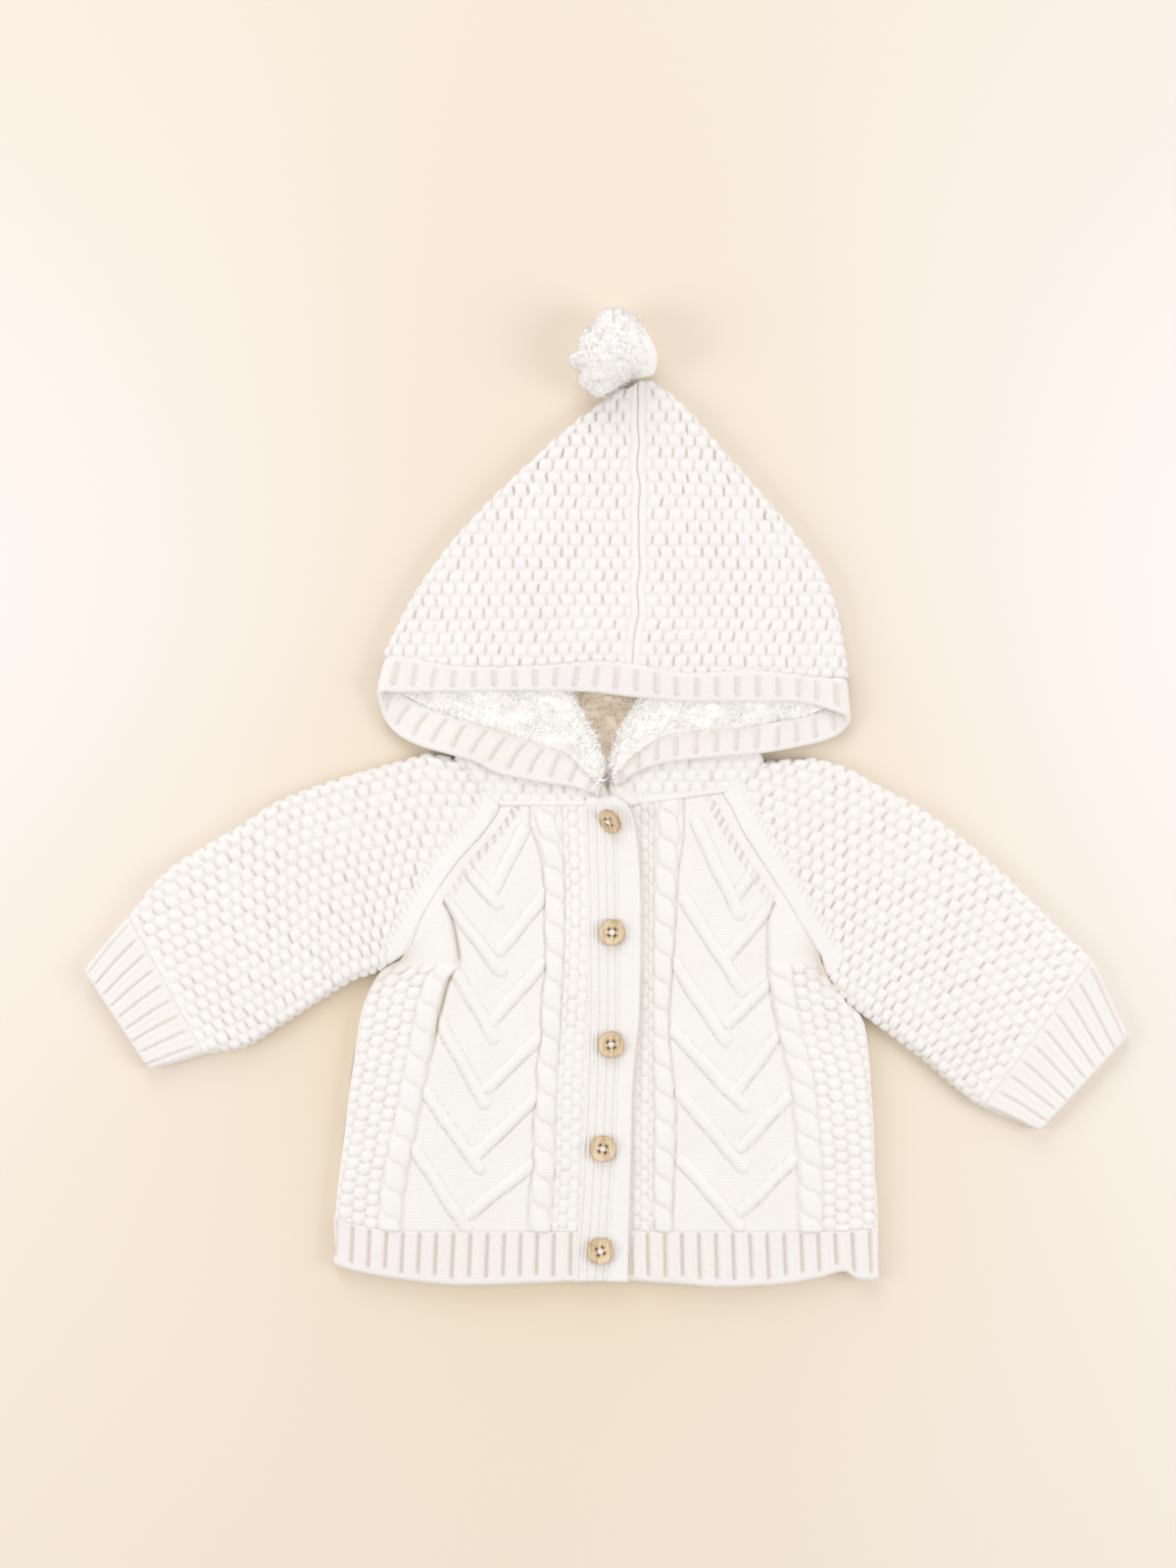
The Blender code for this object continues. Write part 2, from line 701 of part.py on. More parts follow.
MOUTH_TOP, MOUTH_BACK = 82, 5.7  # how far up the mouth reaches, and its floor
MOUTH_LEFT, MOUTH_RIGHT = -62, 70  # the floor's two sides, under the turned-back fleece
LINING_INSET = 11  # from the hood's outline to the lining inside it
INSIDE_ROWS = (MOUTH_TOP + SEAM, 88, 110, 135, 160, 185, 208)
INSIDE_COLUMNS = (0, 0.15, 0.32, 0.5, 0.68, 0.85, 1)


def lining_back(share, y, w):
    """The lining on the hood's back layer, as far as the mouth shows it."""
    return mix(MOUTH_LEFT, MOUTH_RIGHT, share), y, MOUTH_BACK if w else KNIT + LIE


def lining_inside(share, y, w):
    """Both layers of the lining further in, which lie on each other and fill the hood."""
    left, right = look(HOOD, "y", y, "left") + LINING_INSET, look(HOOD, "y", y, "right") - LINING_INSET
    x = mix(left, right, share)
    return x, y, hood_top(x, y) - KNIT - 3 * LIE if w else KNIT + LIE


wall("lining_back", (0, 0.5, 1), (13, 40, 66, MOUTH_TOP), lining_back, FLEECE_CLOTH)
wall("lining_inside", INSIDE_COLUMNS, INSIDE_ROWS, lining_inside, FLEECE_CLOTH)


# Hood band ---------------------------------------------------------------------------------
def band_line():
    """The rib's seam edge and free edge, as rows of two points once round the face opening."""
    rows = list(zip(*[LOWER_LIP_RIGHT[c] for c in ("sx", "sy", "sz", "fx", "fy", "fz")]))
    for sx, sy, fx, fy, droop in zip(*[UPPER_LIP[c] for c in ("sx", "sy", "fx", "fy", "droop")]):
        seam_z = hood_top(sx, sy) - KNIT / 2
        rows.append((sx, sy, seam_z, fx, fy, seam_z - droop))
    rows += list(zip(*[LOWER_LIP_LEFT[c] for c in ("sx", "sy", "sz", "fx", "fy", "fz")]))
    return np.array(rows)


BAND_LINE = band_line()
BAND_STEPS = np.linspace(0, 1, len(BAND_LINE))


def hood_band(across, along):
    row = np.array([np.interp(along, BAND_STEPS, c) for c in BAND_LINE.T])
    return mix(row[:3], row[3:], across)


wall("hood_band", (0, 0.5, 1), list(BAND_STEPS), offset(hood_band, KNIT))


# Pompom ------------------------------------------------------------------------------------
def pompom():
    bm = bmesh.new()
    bmesh.ops.create_icosphere(bm, subdivisions=3, radius=1)
    for v in bm.verts:
        x, y, z = v.co
        lump = 1 - POMPOM_LUMP * (1 - math.sin(7 * x + 2) * math.sin(6 * y + 1))
        size = POMPOM_TOP if y > 0 else POMPOM_HALF
        v.co = Vector([p + h * c * lump for p, h, c in zip(POMPOM_AT, size, (x, y, z))]) * MM
    return add("pompom", bm, KNIT_CLOTH)


pompom()


# Buttons -----------------------------------------------------------------------------------
def disc(bm, sides, radius, depth, matrix=Matrix()):
    size = {"radius1": radius * MM, "radius2": radius * MM, "depth": depth * MM}
    bmesh.ops.create_cone(bm, cap_ends=True, segments=sides, matrix=matrix, **size)


def button(number, x, y):
    """A turned disc with a soft rim and four holes."""
    top = BAND_LIFT + KNIT + LIE
    bm = bmesh.new()
    disc(bm, 20, BUTTON_RADIUS, BUTTON_THICK)
    made = add(f"button_{number}", bm, BUTTON_WOOD)
    made.location = Vector((x, y, top + BUTTON_THICK / 2)) * MM
    bevel = made.modifiers.new("rim", "BEVEL")
    bevel.width, bevel.segments, bevel.limit_method = BUTTON_RIM * MM, 1, "ANGLE"
    holes = bmesh.new()
    for i in range(4):
        turn = Matrix.Rotation(math.pi / 4 + i * math.pi / 2, 4, "Z")
        spot = turn @ Matrix.Translation((BUTTON_HOLE_AT * MM, 0, 0))
        disc(holes, 6, BUTTON_HOLE, 3 * BUTTON_THICK, spot)
    cutter = add(f"holes_{number}", holes, BUTTON_WOOD, cutters)
    cutter.location = made.location
    cutter.hide_render, cutter.display_type = True, "WIRE"
    cut = made.modifiers.new("holes", "BOOLEAN")
    cut.operation, cut.object = "DIFFERENCE", cutter


for count, (button_x, button_y) in enumerate(zip(BUTTON_PLACES["x"], BUTTON_PLACES["y"]), 1):
    button(count, button_x, button_y)
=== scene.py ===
"""The looks of a baby's knitted hooded coat that lies flat on its back with its sleeves spread.

+Z is up, the hood points to +Y and the wearer's right lies at -X. Sizes are in millimetres until
MM turns them into metres.
"""

import math

import bmesh
import bpy
import numpy as np
from mathutils import Matrix, Vector


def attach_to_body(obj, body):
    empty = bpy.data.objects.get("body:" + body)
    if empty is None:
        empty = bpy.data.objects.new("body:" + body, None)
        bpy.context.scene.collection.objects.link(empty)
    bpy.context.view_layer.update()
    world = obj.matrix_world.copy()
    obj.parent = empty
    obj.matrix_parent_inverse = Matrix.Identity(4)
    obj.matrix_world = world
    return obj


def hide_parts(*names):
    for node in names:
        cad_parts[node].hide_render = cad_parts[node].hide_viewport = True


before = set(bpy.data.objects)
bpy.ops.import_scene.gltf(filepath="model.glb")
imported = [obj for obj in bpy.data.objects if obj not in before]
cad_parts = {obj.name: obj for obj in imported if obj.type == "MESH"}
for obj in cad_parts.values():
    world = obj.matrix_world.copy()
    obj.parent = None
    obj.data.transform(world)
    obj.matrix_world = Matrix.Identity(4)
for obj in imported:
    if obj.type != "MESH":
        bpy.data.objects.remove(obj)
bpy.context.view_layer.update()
MM = 0.001

# Table, lamps and camera ---------------------------------------------------------------------
# The coat lies on a cream table and is seen from straight above. The table's colour holds painted
# light at both sides of the coat and painted shadow round it. A broad soft lamp stands beyond the
# hood, two more at the sides, and warm light from all round fills the shadows.
TABLE_SIZE = 6000
TABLE_DROP = 0.3  # how far the table's face lies below the cloth
# the table's colour runs from a cream of painted shadow round the coat to a pale of painted light
TABLE_SHADOW_CREAM, TABLE_LIT_PALE = (0.814, 0.692, 0.51), (0.905, 0.857, 0.835)
VIEW_CENTRE, VIEW_HEIGHT = (-10, 7.8, 7), 864  # what the camera sees at the coat's height
CAMERA_HEIGHT, SENSOR = 1300, 36
LAMPS = {  # each lamp's place and width, in metres, and its power
    "beyond": ((-0.5, 2.1, 1.4), 1.7, 20),
    "left": ((-1.3, -0.15, 0.9), 0.9, 7.2),
    "right": ((1.3, -0.15, 0.9), 0.9, 8.0),
}
LAMP_WHITE = (0.92, 0.95, 1.0)
ROOM_COLOUR, ROOM_LIGHT = (1, 0.95, 0.88, 1), 0.65


class Shade:
    """A socket in a material's nodes. Arithmetic on it adds Math nodes."""

    def __init__(self, tree, socket=None):
        self.tree, self.socket = tree, socket

    def node(self, kind, settings, sockets, out=0):
        """Adds a node: its settings first, then the values or links of its sockets."""
        made = self.tree.nodes.new("ShaderNode" + kind)
        for name, value in settings.items():
            setattr(made, name, value)
        for name, value in sockets.items():
            if isinstance(value, Shade):
                self.tree.links.new(value.socket, made.inputs[name])
            else:
                made.inputs[name].default_value = value
        return Shade(self.tree, made.outputs[out])

    def math(self, operation, *values):
        """A Math node's result."""
        return self.node("Math", {"operation": operation}, dict(enumerate(values)))

    def noise(self, scale, detail, place=None):
        """Cloudy noise from 0 to 1, in the object's own space or at a worked-out place."""
        place = place or self.node("TexCoord", {}, {}, "Object")
        return self.node("TexNoise", {}, {"Vector": place, "Scale": scale, "Detail": detail})

    def measured(self, name):
        """The piece's own attribute of this name."""
        return self.node("Attribute", {"attribute_name": name}, {}, "Fac")

    def mixed(self, colour, other):
        """A colour that goes to the other one as this value goes from 0 to 1."""
        settings = {"data_type": "RGBA", "clamp_factor": True}
        ends = [end if isinstance(end, Shade) else (*end, 1) for end in (colour, other)]
        return self.node("Mix", settings, {0: self, 6: ends[0], 7: ends[1]}, 2)

    def __add__(self, other):
        return self.math("ADD", self, other)

    def __sub__(self, other):
        return self.math("SUBTRACT", self, other)

    def __rsub__(self, other):
        return self.math("SUBTRACT", other, self)

    def __mul__(self, other):
        return self.math("MULTIPLY", self, other)

    def __truediv__(self, other):
        return self.math("DIVIDE", self, other)

    def __pow__(self, other):
        return self.math("POWER", self, other)

    def __abs__(self):
        return self.math("ABSOLUTE", self)

    __radd__, __rmul__ = __add__, __mul__


def new_material(name, constants):
    """A material whose shader has these constants, with the start of its nodes and its shader."""
    made = bpy.data.materials.new(name)
    made.use_nodes = True
    shader = made.node_tree.nodes["Principled BSDF"]
    for socket, value in constants.items():
        shader.inputs[socket].default_value = value
    return made, Shade(made.node_tree), shader


def feed(shader, socket, value):
    """Links a worked-out colour, value or normal to one of the shader's sockets."""
    value.tree.links.new(value.socket, shader.inputs[socket])


def table_finish():
    """Matt cream, with painted light palest at both sides of the coat and towards the right, and painted
    shadow, warmest and darkest, round the coat's lower part.
    """
    made, start, shader = new_material("table", {"Roughness": 0.85, "Specular IOR Level": 0.2})
    place = start.node("TexCoord", {}, {}, "Object")
    x, y = (start.node("SeparateXYZ", {}, {0: place}, axis) for axis in (0, 1))
    up, down = y * 4 - 0.4, y + 0.1
    # painted light: a pale pool at each side of the coat, and paler towards the right
    beside = x * x / (x * x + 0.05) / (up * up + 1)
    painted_light_rightwards = x / (x * x * 3 + 1)
    # painted shadow under and round the lower part of the coat
    painted_shadow_under_coat = (x * x * 100 + down * down * 100 + 1) ** -1
    tone = beside * 0.79 + painted_light_rightwards * 0.28 - painted_shadow_under_coat * 1.5 + start.noise(1.6, 2.0) * 0.25 + 0.42
    feed(shader, "Base Color", tone.mixed(TABLE_SHADOW_CREAM, TABLE_LIT_PALE))
    return made


def add_object(name, mesh, material):
    """Puts a mesh of this material into the scene."""
    mesh.materials.append(material)
    made = bpy.data.objects.new(name, mesh)
    bpy.context.scene.collection.objects.link(made)
    return made


table_sheet = bmesh.new()
bmesh.ops.create_grid(table_sheet, x_segments=4, y_segments=4, size=TABLE_SIZE / 2 * MM)
bmesh.ops.translate(table_sheet, verts=table_sheet.verts[:], vec=(0, 0, -TABLE_DROP * MM))
table_mesh = bpy.data.meshes.new("table_top")
table_sheet.to_mesh(table_mesh)
table_sheet.free()
add_object("table_top", table_mesh, table_finish())

camera = bpy.data.cameras.new("camera")
camera.sensor_fit, camera.sensor_height = "VERTICAL", SENSOR
camera.lens = SENSOR * CAMERA_HEIGHT / VIEW_HEIGHT
camera_stand = bpy.data.objects.new("camera", camera)
camera_stand.location = (Vector(VIEW_CENTRE) + Vector((0, 0, CAMERA_HEIGHT))) * MM
bpy.context.scene.collection.objects.link(camera_stand)
bpy.context.scene.camera = camera_stand
bpy.context.scene.view_settings.view_transform = "Standard"

for name, (place, width, power) in LAMPS.items():
    light = bpy.data.lights.new(name, "AREA")
    light.shape, light.size, light.energy, light.color = "DISK", width, power, LAMP_WHITE
    stand = bpy.data.objects.new(name, light)
    stand.location = place
    stand.rotation_euler = (-Vector(place)).to_track_quat("-Z", "Y").to_euler()
    bpy.context.scene.collection.objects.link(stand)

room = bpy.data.worlds.new("studio")
bpy.context.scene.world = room
room.use_nodes = True
room.node_tree.nodes["Background"].inputs["Color"].default_value = ROOM_COLOUR
room.node_tree.nodes["Background"].inputs["Strength"].default_value = ROOM_LIGHT

# Back panel ----------------------------------------------------------------------------------
# One panel of pebble stitch, a tuck stitch whose bumps sit half a stitch over in every other
# column. It is folded up at the side seams, and its upper corners join the sleeves.
KNIT = 3.2  # thickness of the knitted wall
SEAM = 0.35  # gap at a seam
BODY_HEIGHT = 9.2  # both layers of the body
HALF = BODY_HEIGHT / 2
BODY_LOW, BACK_TOP = -238.3, 8  # where the back panel starts and ends
BACK_ACROSS, BACK_UP, BACK_STEP = 270, 246, 1.5  # the lengths its mesh divides, and the step
BODY_STITCH = (6.7, 7.3)  # a pebble's length along its column, and the column's width
SEAM_ROLL = 1.2  # radius with which a panel's edge rolls down into its seam
SIDE_SEAM_TOP, SIDE_SEAM_FULL = -88, -99  # between these the raglan turns into the side's fold
QUARTER = np.linspace(0, math.pi / 2, 8)  # angles from the side seam's fold up to the flat
PLAIN_RIM = ((-0.28, 0.35), (-0.38, 1.2), (-0.38, 2.3))  # how far back over the edge, and down
# the least painted shade on rows turned in past an edge
RIM_PAINTED_SHADE = 0.3
# the yarn's own white, and the colour of the painted shade in its hollows
YARN_WHITE, YARN_PAINTED_SHADE = (0.955, 0.94, 0.935), (0.76, 0.675, 0.58)
WALE, COURSE = 2.1, 1.7  # the plain stitches between and on the bumps


def table(names, *rows):
    """A short table as a dictionary of columns."""
    return {name: np.array([row[i] for row in rows], float) for i, name in enumerate(names.split())}


BODY = table(
    "y left right",
    (-240, -150.4, 150.4),
    (-228, -149.4, 149.8),
    (-202, -146.4, 148.6),
    (-165.5, -142.5, 146.8),
    (-138, -138.6, 145),
    (-127, -136.6, 143.6),
    (-119.5, -135, 140.4),
    (-112.5, -133, 132.6),
    (-103.5, -129, 125),
    (-96.5, -123.6, 120.8),
    (-88, -112.2, 117.6),
    (-63.5, -100.3, 103.8),
    (-37.5, -84, 87.6),
    (-15.9, -65.7, 74.2),
    (-4.4, -59.2, 68.6),
    (3, -64.8, 64.8),
    (8, -68.6, 71),
)
HEM = table(
    "x top bottom",
    (-150.4, -230, -257.5),
    (-139, -234.5, -260.6),
    (-116, -238, -265),
    (-79, -238.6, -268.6),
    (-42, -238.6, -267.6),
    (-6, -238.6, -266.2),
    (35, -238.6, -267.6),
    (63, -238.6, -269.7),
    (90.5, -238.6, -268.6),
    (118, -238.6, -264.4),
    (131, -238.2, -261),
    (139.6, -237.6, -265.6),
    (150.4, -236, -266),
)


def curve(keys, values, at):
    """A smooth line through a table's rows that never overshoots them, read at many places."""
    step = np.diff(keys)
    slope = np.diff(values) / step
    bends = slope[:-1] * slope[1:] > 0
    before, after = np.where(bends, slope[:-1], 1), np.where(bends, slope[1:], 1)
    early, late = 2 * step[1:] + step[:-1], step[1:] + 2 * step[:-1]
    inner = np.where(bends, (early + late) / (early / before + late / after), 0)
    slopes = np.concatenate([slope[:1], inner, slope[-1:]])
    at = np.clip(at, keys[0], keys[-1])
    i = np.clip(np.searchsorted(keys, at, side="right") - 1, 0, len(step) - 1)
    t = (at - keys[i]) / step[i]
    start = (1 + 2 * t) * (1 - t) ** 2 * values[i] + t * (1 - t) ** 2 * step[i] * slopes[i]
    return start + t * t * (3 - 2 * t) * values[i + 1] - t * t * (1 - t) * step[i] * slopes[i + 1]


def look(rows, key, at, name):
    """The named column of a table where its key column has these values."""
    return curve(rows[key], rows[name], at)


def mix(a, b, share):
    """From a to b as the share goes from 0 to 1."""
    return a + (b - a) * share


def smooth(share):
    """An even step from 0 to 1 that starts and ends gently."""
    share = np.clip(share, 0, 1)
    return share * share * (3 - 2 * share)


def ridge(distance, width):
    """1 on a line and nearly 0 at its width from it."""
    return np.exp(-((distance / width) ** 2))


def chance(*numbers):
    """A fixed odd-looking number from 0 to 1 for each set of whole numbers."""
    mixed = sum(n * f for n, f in zip(numbers, (12.9898, 78.233, 37.719)))
    spread = np.sin(mixed) * 43758.5453
    return spread - np.floor(spread)


def uneven(x, y, size, seed):
    """Soft hills and hollows from -1 to 1, about that size across."""
    total = 0
    for i in range(4):
        turn = 2.4 * i + seed
        wave = 2 * math.pi / size * (0.7 + 0.25 * i)
        total = total + np.sin(wave * (x * math.cos(turn) + y * math.sin(turn)) + 1.7 * seed * (i + 1))
    return total / 3


def beads(along, across, pitch, row):
    """Height and painted shade of rows of round bumps, every other row half a bump over."""
    j = np.round(across / row)
    side = across / row - j
    place = along / pitch - 0.5 * np.mod(j, 2)
    i = np.round(place)
    place = place - i + 0.08 * (chance(i, j) - 0.5)
    far = np.sqrt((1.85 * place) ** 2 + (1.9 * side) ** 2)
    dome = np.sqrt(np.clip(1 - far**2, 0, 1)) * (0.75 + 0.5 * chance(i, j, 2))
    # a sunk ring round each bump, in painted shade that is heavier on one side of it
    rim = ridge(far - 1.02, 0.2) * (0.35 + 0.65 * smooth(0.5 - 1.6 * place))
    rim = rim * (0.6 + 0.6 * chance(j, i, 3))
    return np.array([1.1 * dome - 0.3 * rim - 0.5, np.clip(0.62 * rim, 0, 1)])


def edge_roll(distance, radius=SEAM_ROLL):
    """Height and painted shade of a panel's edge that rolls down into a seam."""
    inside = np.clip(1 - distance / radius, 0, 1)
    return np.array([-0.8 * radius * (1 - np.sqrt(1 - inside**2)), 0.45 * inside**2])


def unit(vectors):
    """The vectors at a length of 1."""
    return vectors / np.maximum(np.linalg.norm(vectors, axis=-1, keepdims=True), 1e-9)


def flat_area(points):
    """The area of a grid of points, in square metres."""
    one, other = points[1:, 1:] - points[:-1, :-1], points[1:, :-1] - points[:-1, 1:]
    return float(np.linalg.norm(np.cross(one, other), axis=-1).sum() / 2 * MM * MM)


def turn_in(grids, side, rim):
    """Adds rows past one open edge of the cloth, moved back over it and down into its wall."""
    sideways, backwards = side in ("left", "right"), side in ("right", "top")
    grids = [g.swapaxes(0, 1) if sideways else g for g in grids]
    grids = [g[::-1] if backwards else g for g in grids]
    placed, normals, _, _, points = grids
    inwards = unit(points[1] - points[0])
    extra = [np.repeat(g[:1], len(rim), 0) for g in grids]
    extra[0] = np.array([placed[0] + inwards * back - normals[0] * down for back, down in reversed(rim)])
    # the rows turned in past an edge get at least this much painted shade
    extra[2] = np.maximum(extra[2], RIM_PAINTED_SHADE)
    grids = [np.concatenate([e, g]) for e, g in zip(extra, grids)]
    grids = [g[::-1] if backwards else g for g in grids]
    return [g.swapaxes(0, 1) if sideways else g for g in grids]


def knit_mesh(name, points, stitch, weave, rims, material, flip=False, ring=False):
    """Makes a knitted piece from a grid of points, in rows of columns, in millimetres.

    stitch is the height of its stitches and the painted shade in their hollows. weave is how far
    each point lies along and across the stitches. rims lists for each open edge, by its side of the
    grid, the rows that turn it in. flip turns the faces of a grid whose rows run the other way. A
    ring's last column is welded to its first. Stitches are pressed flat where they would reach into
    the table.
    """
    wide = np.concatenate([points[:, -2:-1], points, points[:, 1:2]], 1) if ring else points
    normals = unit(np.cross(np.gradient(wide, axis=1), np.gradient(wide, axis=0)))
    normals = (normals[:, 1:-1] if ring else normals) * (-1 if flip else 1)
    height, painted_shade = stitch
    placed = points + normals * height[..., None]
    placed[..., 2] = np.maximum(placed[..., 2], 0)
    grids = [placed, normals, painted_shade[..., None], np.stack(weave, -1), points]
    for side, rim in rims.items():
        grids = turn_in(grids, side, rim)
    placed, _, painted_shade, weave, _ = grids
    rows, columns = placed.shape[:2]
    bm = bmesh.new()
    bmesh.ops.create_grid(bm, x_segments=columns - 1, y_segments=rows - 1, size=0.5)
    mesh = bpy.data.meshes.new(name)
    bm.to_mesh(mesh)
    bm.free()
    spots = np.empty(len(mesh.vertices) * 3)
    mesh.vertices.foreach_get("co", spots)
    column = np.rint((spots[0::3] + 0.5) * (columns - 1)).astype(int)
    row = np.rint((spots[1::3] + 0.5) * (rows - 1)).astype(int)
    mesh.vertices.foreach_set("co", (placed[row, column] * MM).ravel())
    corners = np.empty(len(mesh.loops), int)
    mesh.loops.foreach_get("vertex_index", corners)
    mesh.uv_layers.new(name="weave").data.foreach_set("uv", weave[row, column][corners].ravel())
    # the second row of stitch goes to the depth attribute: painted shade in the hollows and on the turned-in
    # rims
    depth = mesh.attributes.new("depth", "FLOAT", "POINT")
    depth.data.foreach_set("value", painted_shade[row, column].ravel())
    bm = bmesh.new()
    bm.from_mesh(mesh)
    if ring:
        bmesh.ops.remove_doubles(bm, verts=bm.verts[:], dist=0.02 * MM)
    if flip:
        bmesh.ops.reverse_faces(bm, faces=bm.faces[:])
    bm.to_mesh(mesh)
    bm.free()
    mesh.shade_smooth()
    return add_object(name, mesh, material)


def attach(piece, slot, *nodes):
    """Fixes a piece to the coat, in place of the solids that it stands for."""
    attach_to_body(piece, "root")
    if nodes:
        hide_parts(*nodes)


def lay(piece, node, slot, area):
    """Fixes a piece of cloth that lies flat to the coat, in place of its solid. Its flat size is not used.
    """
    attach(piece, slot, node)


def relief(shader, height, strength, distance):
    """Raises and sinks the surface a little by a worked-out height."""
    bump = {"Strength": strength, "Distance": distance, "Height": height}
    feed(shader, "Normal", height.node("Bump", {}, bump))


def yarn_finish(name, colour):
    """Soft cotton and wool yarn: plain V stitches with a haze of fibres, and painted shade in the grooves.
    """
    constants = {"Roughness": 0.92, "Sheen Weight": 0.22, "Sheen Roughness": 0.6, "Specular IOR Level": 0.25}
    made, start, shader = new_material(name, constants)
    fibres = start.noise(1400.0, 3.0)
    # the depth attribute darkens the colour towards the shade colour: painted shade in the knit's hollows
    tone = start.measured("depth") * 0.8 + start.noise(28.0, 2.0) * 0.16 + fibres * 0.14 - 0.12
    feed(shader, "Base Color", tone.mixed(colour, YARN_PAINTED_SHADE))
    weave = start.node("UVMap", {"uv_map": "weave"}, {})
    along, across = (start.node("SeparateXYZ", {}, {0: weave}, axis) for axis in (0, 1))
    wale = across / WALE
    leg = abs(wale.math("FRACT", wale) - 0.5) * 2
    course = along / COURSE + leg * 0.8
    turn = course.math("FRACT", course) * math.pi
    strand = turn.math("SINE", turn) * (1 - leg**5)
    relief(shader, strand * 0.7 + fibres * 0.6, 0.55, 0.0005)
    return made


BODY_KNIT = yarn_finish("coat_yarn", YARN_WHITE)


def steps(length, step):
    """Shares from 0 to 1 in steps of about that length."""
    return np.linspace(0, 1, max(2, round(length / step)) + 1)


def side_round(y):
    """0 along the raglan, 1 where the side seam is a round fold."""
    return smooth((SIDE_SEAM_TOP - y) / (SIDE_SEAM_TOP - SIDE_SEAM_FULL))


def fold_points(edge_x, inward, angle, y, up):
    """x and z round a folded edge: inward is 1 at the left, up is 1 for the upper layer."""
    lift = mix(1, np.sin(angle), side_round(y))
    x = edge_x + inward * HALF * (1 - np.cos(angle))
    return x, HALF + up * np.maximum(HALF * lift, SEAM / 2)


def back_points():
    """The back panel's grid, folded up at both sides."""
    across = steps(BACK_ACROSS, BACK_STEP)
    rows = steps(BACK_UP, BACK_STEP)[:, None]
    y = mix(BODY_LOW, BACK_TOP, rows) + np.zeros(len(QUARTER) * 2 - 2 + len(across))
    n = len(QUARTER) - 1
    for _ in range(3):
        left, right = (look(BODY, "y", y, side) for side in ("left", "right"))
        x_left, z_left = fold_points(left[:, :n], 1, QUARTER[:-1], y[:, :n], -1)
        x_right, z_right = fold_points(right[:, -n:], -1, QUARTER[-2::-1], y[:, -n:], -1)
        flat_x = mix(left[:, n:-n] + HALF, right[:, n:-n] - HALF, across)
        x = np.concatenate([x_left, flat_x, x_right], 1)
        y = mix(look(HEM, "x", x, "top") + SEAM / 2, BACK_TOP, rows)
    z = np.concatenate([z_left, np.zeros_like(flat_x), z_right], 1)
    return np.stack([x, y, z], -1)


points = back_points()
x, y = points[..., 0], points[..., 1]
side_fade = smooth((0.5 - np.abs(np.linspace(-0.5, 0.5, x.shape[1]))) * 60)
stitch = beads(y, x, *BODY_STITCH) * side_fade + edge_roll(y - look(HEM, "x", x, "top"))
rims = {"bottom": PLAIN_RIM, "top": PLAIN_RIM}
back = knit_mesh("back_panel", points, stitch, (y, x), rims, BODY_KNIT, flip=True)
lay(back, "back", "knit", flat_area(points))

# Fronts --------------------------------------------------------------------------------------
# Two cabled panels. From the placket outwards each has moss stitch, a rope cable, a field of plain
# stitch with nested chevrons, a second rope cable behind a pressed-in pleat, and pebble stitch.
SIDES = {"right": "left", "left": "right"}  # the wearer's right lies at the left of the tables
FRONT_ACROSS, FRONT_UP, FRONT_STEP = 134, 235, 0.95
FRONT_TOP = -4.4  # where the neckline starts
BAND = table(
    "y left right",
    (-266, -17, 12),
    (-228, -14.5, 12.7),
    (-202, -13, 13.5),
    (-165.5, -11.3, 14.3),
    (-138, -10.4, 16.4),
    (-119.5, -10, 18.3),
    (-88, -10, 19),
    (-63.5, -10.3, 19.1),
    (-37.5, -10.9, 18.4),
    (-15.9, -11.4, 15.8),
    (-4.5, -11.6, 12.2),
    (1.6, -9.4, 5.2),
)
NECKLINE_LEFT = table("x y", (12, -4.4), (65, 3))
BAND_EDGES = {"right": -SEAM, "left": 2 * SEAM}  # from the band's edge to a front's
PLACKET_DIP, DIP_WIDTH = 2.4, 20  # how far the band presses the left front down, and how wide
# Distances from the middle at which one stitch gives way to the next, from the hem up.
ZONES_RIGHT = table(
    "y moss cable pleat",
    (-238, 30, 43.4, 112.3),
    (-219, 29, 42.4, 111),
    (-200, 27.8, 40.2, 107.8),
    (-179, 27.5, 40.2, 103.6),
    (-162, 27.1, 38, 100.4),
    (-148, 26.3, 38.2, 97.6),
    (-133, 25.4, 35.8, 94.4),
    (-112, 24.3, 35.6, 90.1),
    (-99, 23.5, 33.9, 86),
    (-92, 23.3, 33.5, 80.8),
    (-84, 23, 33.3, 81.7),
    (-66, 22.5, 34, 85.2),
    (-57, 22.5, 33.8, 88.8),
    (-38, 23, 35.1, 94),
    (-26, 23.5, 38, 98),
    (-15, 24, 42, 102),
)
ZONES_LEFT = table(
    "y moss cable pleat",
    (-238, 26, 36, 105.8),
    (-202, 26, 37.6, 105.2),
    (-178, 26, 38.5, 103.4),
    (-156, 26, 37, 101),
    (-130, 26, 34.5, 94.6),
    (-118, 26, 34.3, 92.6),
    (-105, 26, 35.5, 90),
    (-92, 26, 36.5, 89),
    (-70, 26, 38, 89),
    (-59, 26, 38.5, 91.5),
    (-45, 26, 39.3, 95),
    (-22, 26, 42.7, 99),
)
PLEAT = table(
    "y right left",
    (-238, 0.4, 0.3),
    (-150, 0.5, 0.45),
    (-138, 0.9, 0.6),
    (-122, 2.0, 0.8),
    (-100, 2.2, 0.9),
    (-93.5, 0.4, 1.0),
    (-87, 2.2, 1.1),
    (-62, 1.6, 0.9),
    (-52, 0, 0),
)
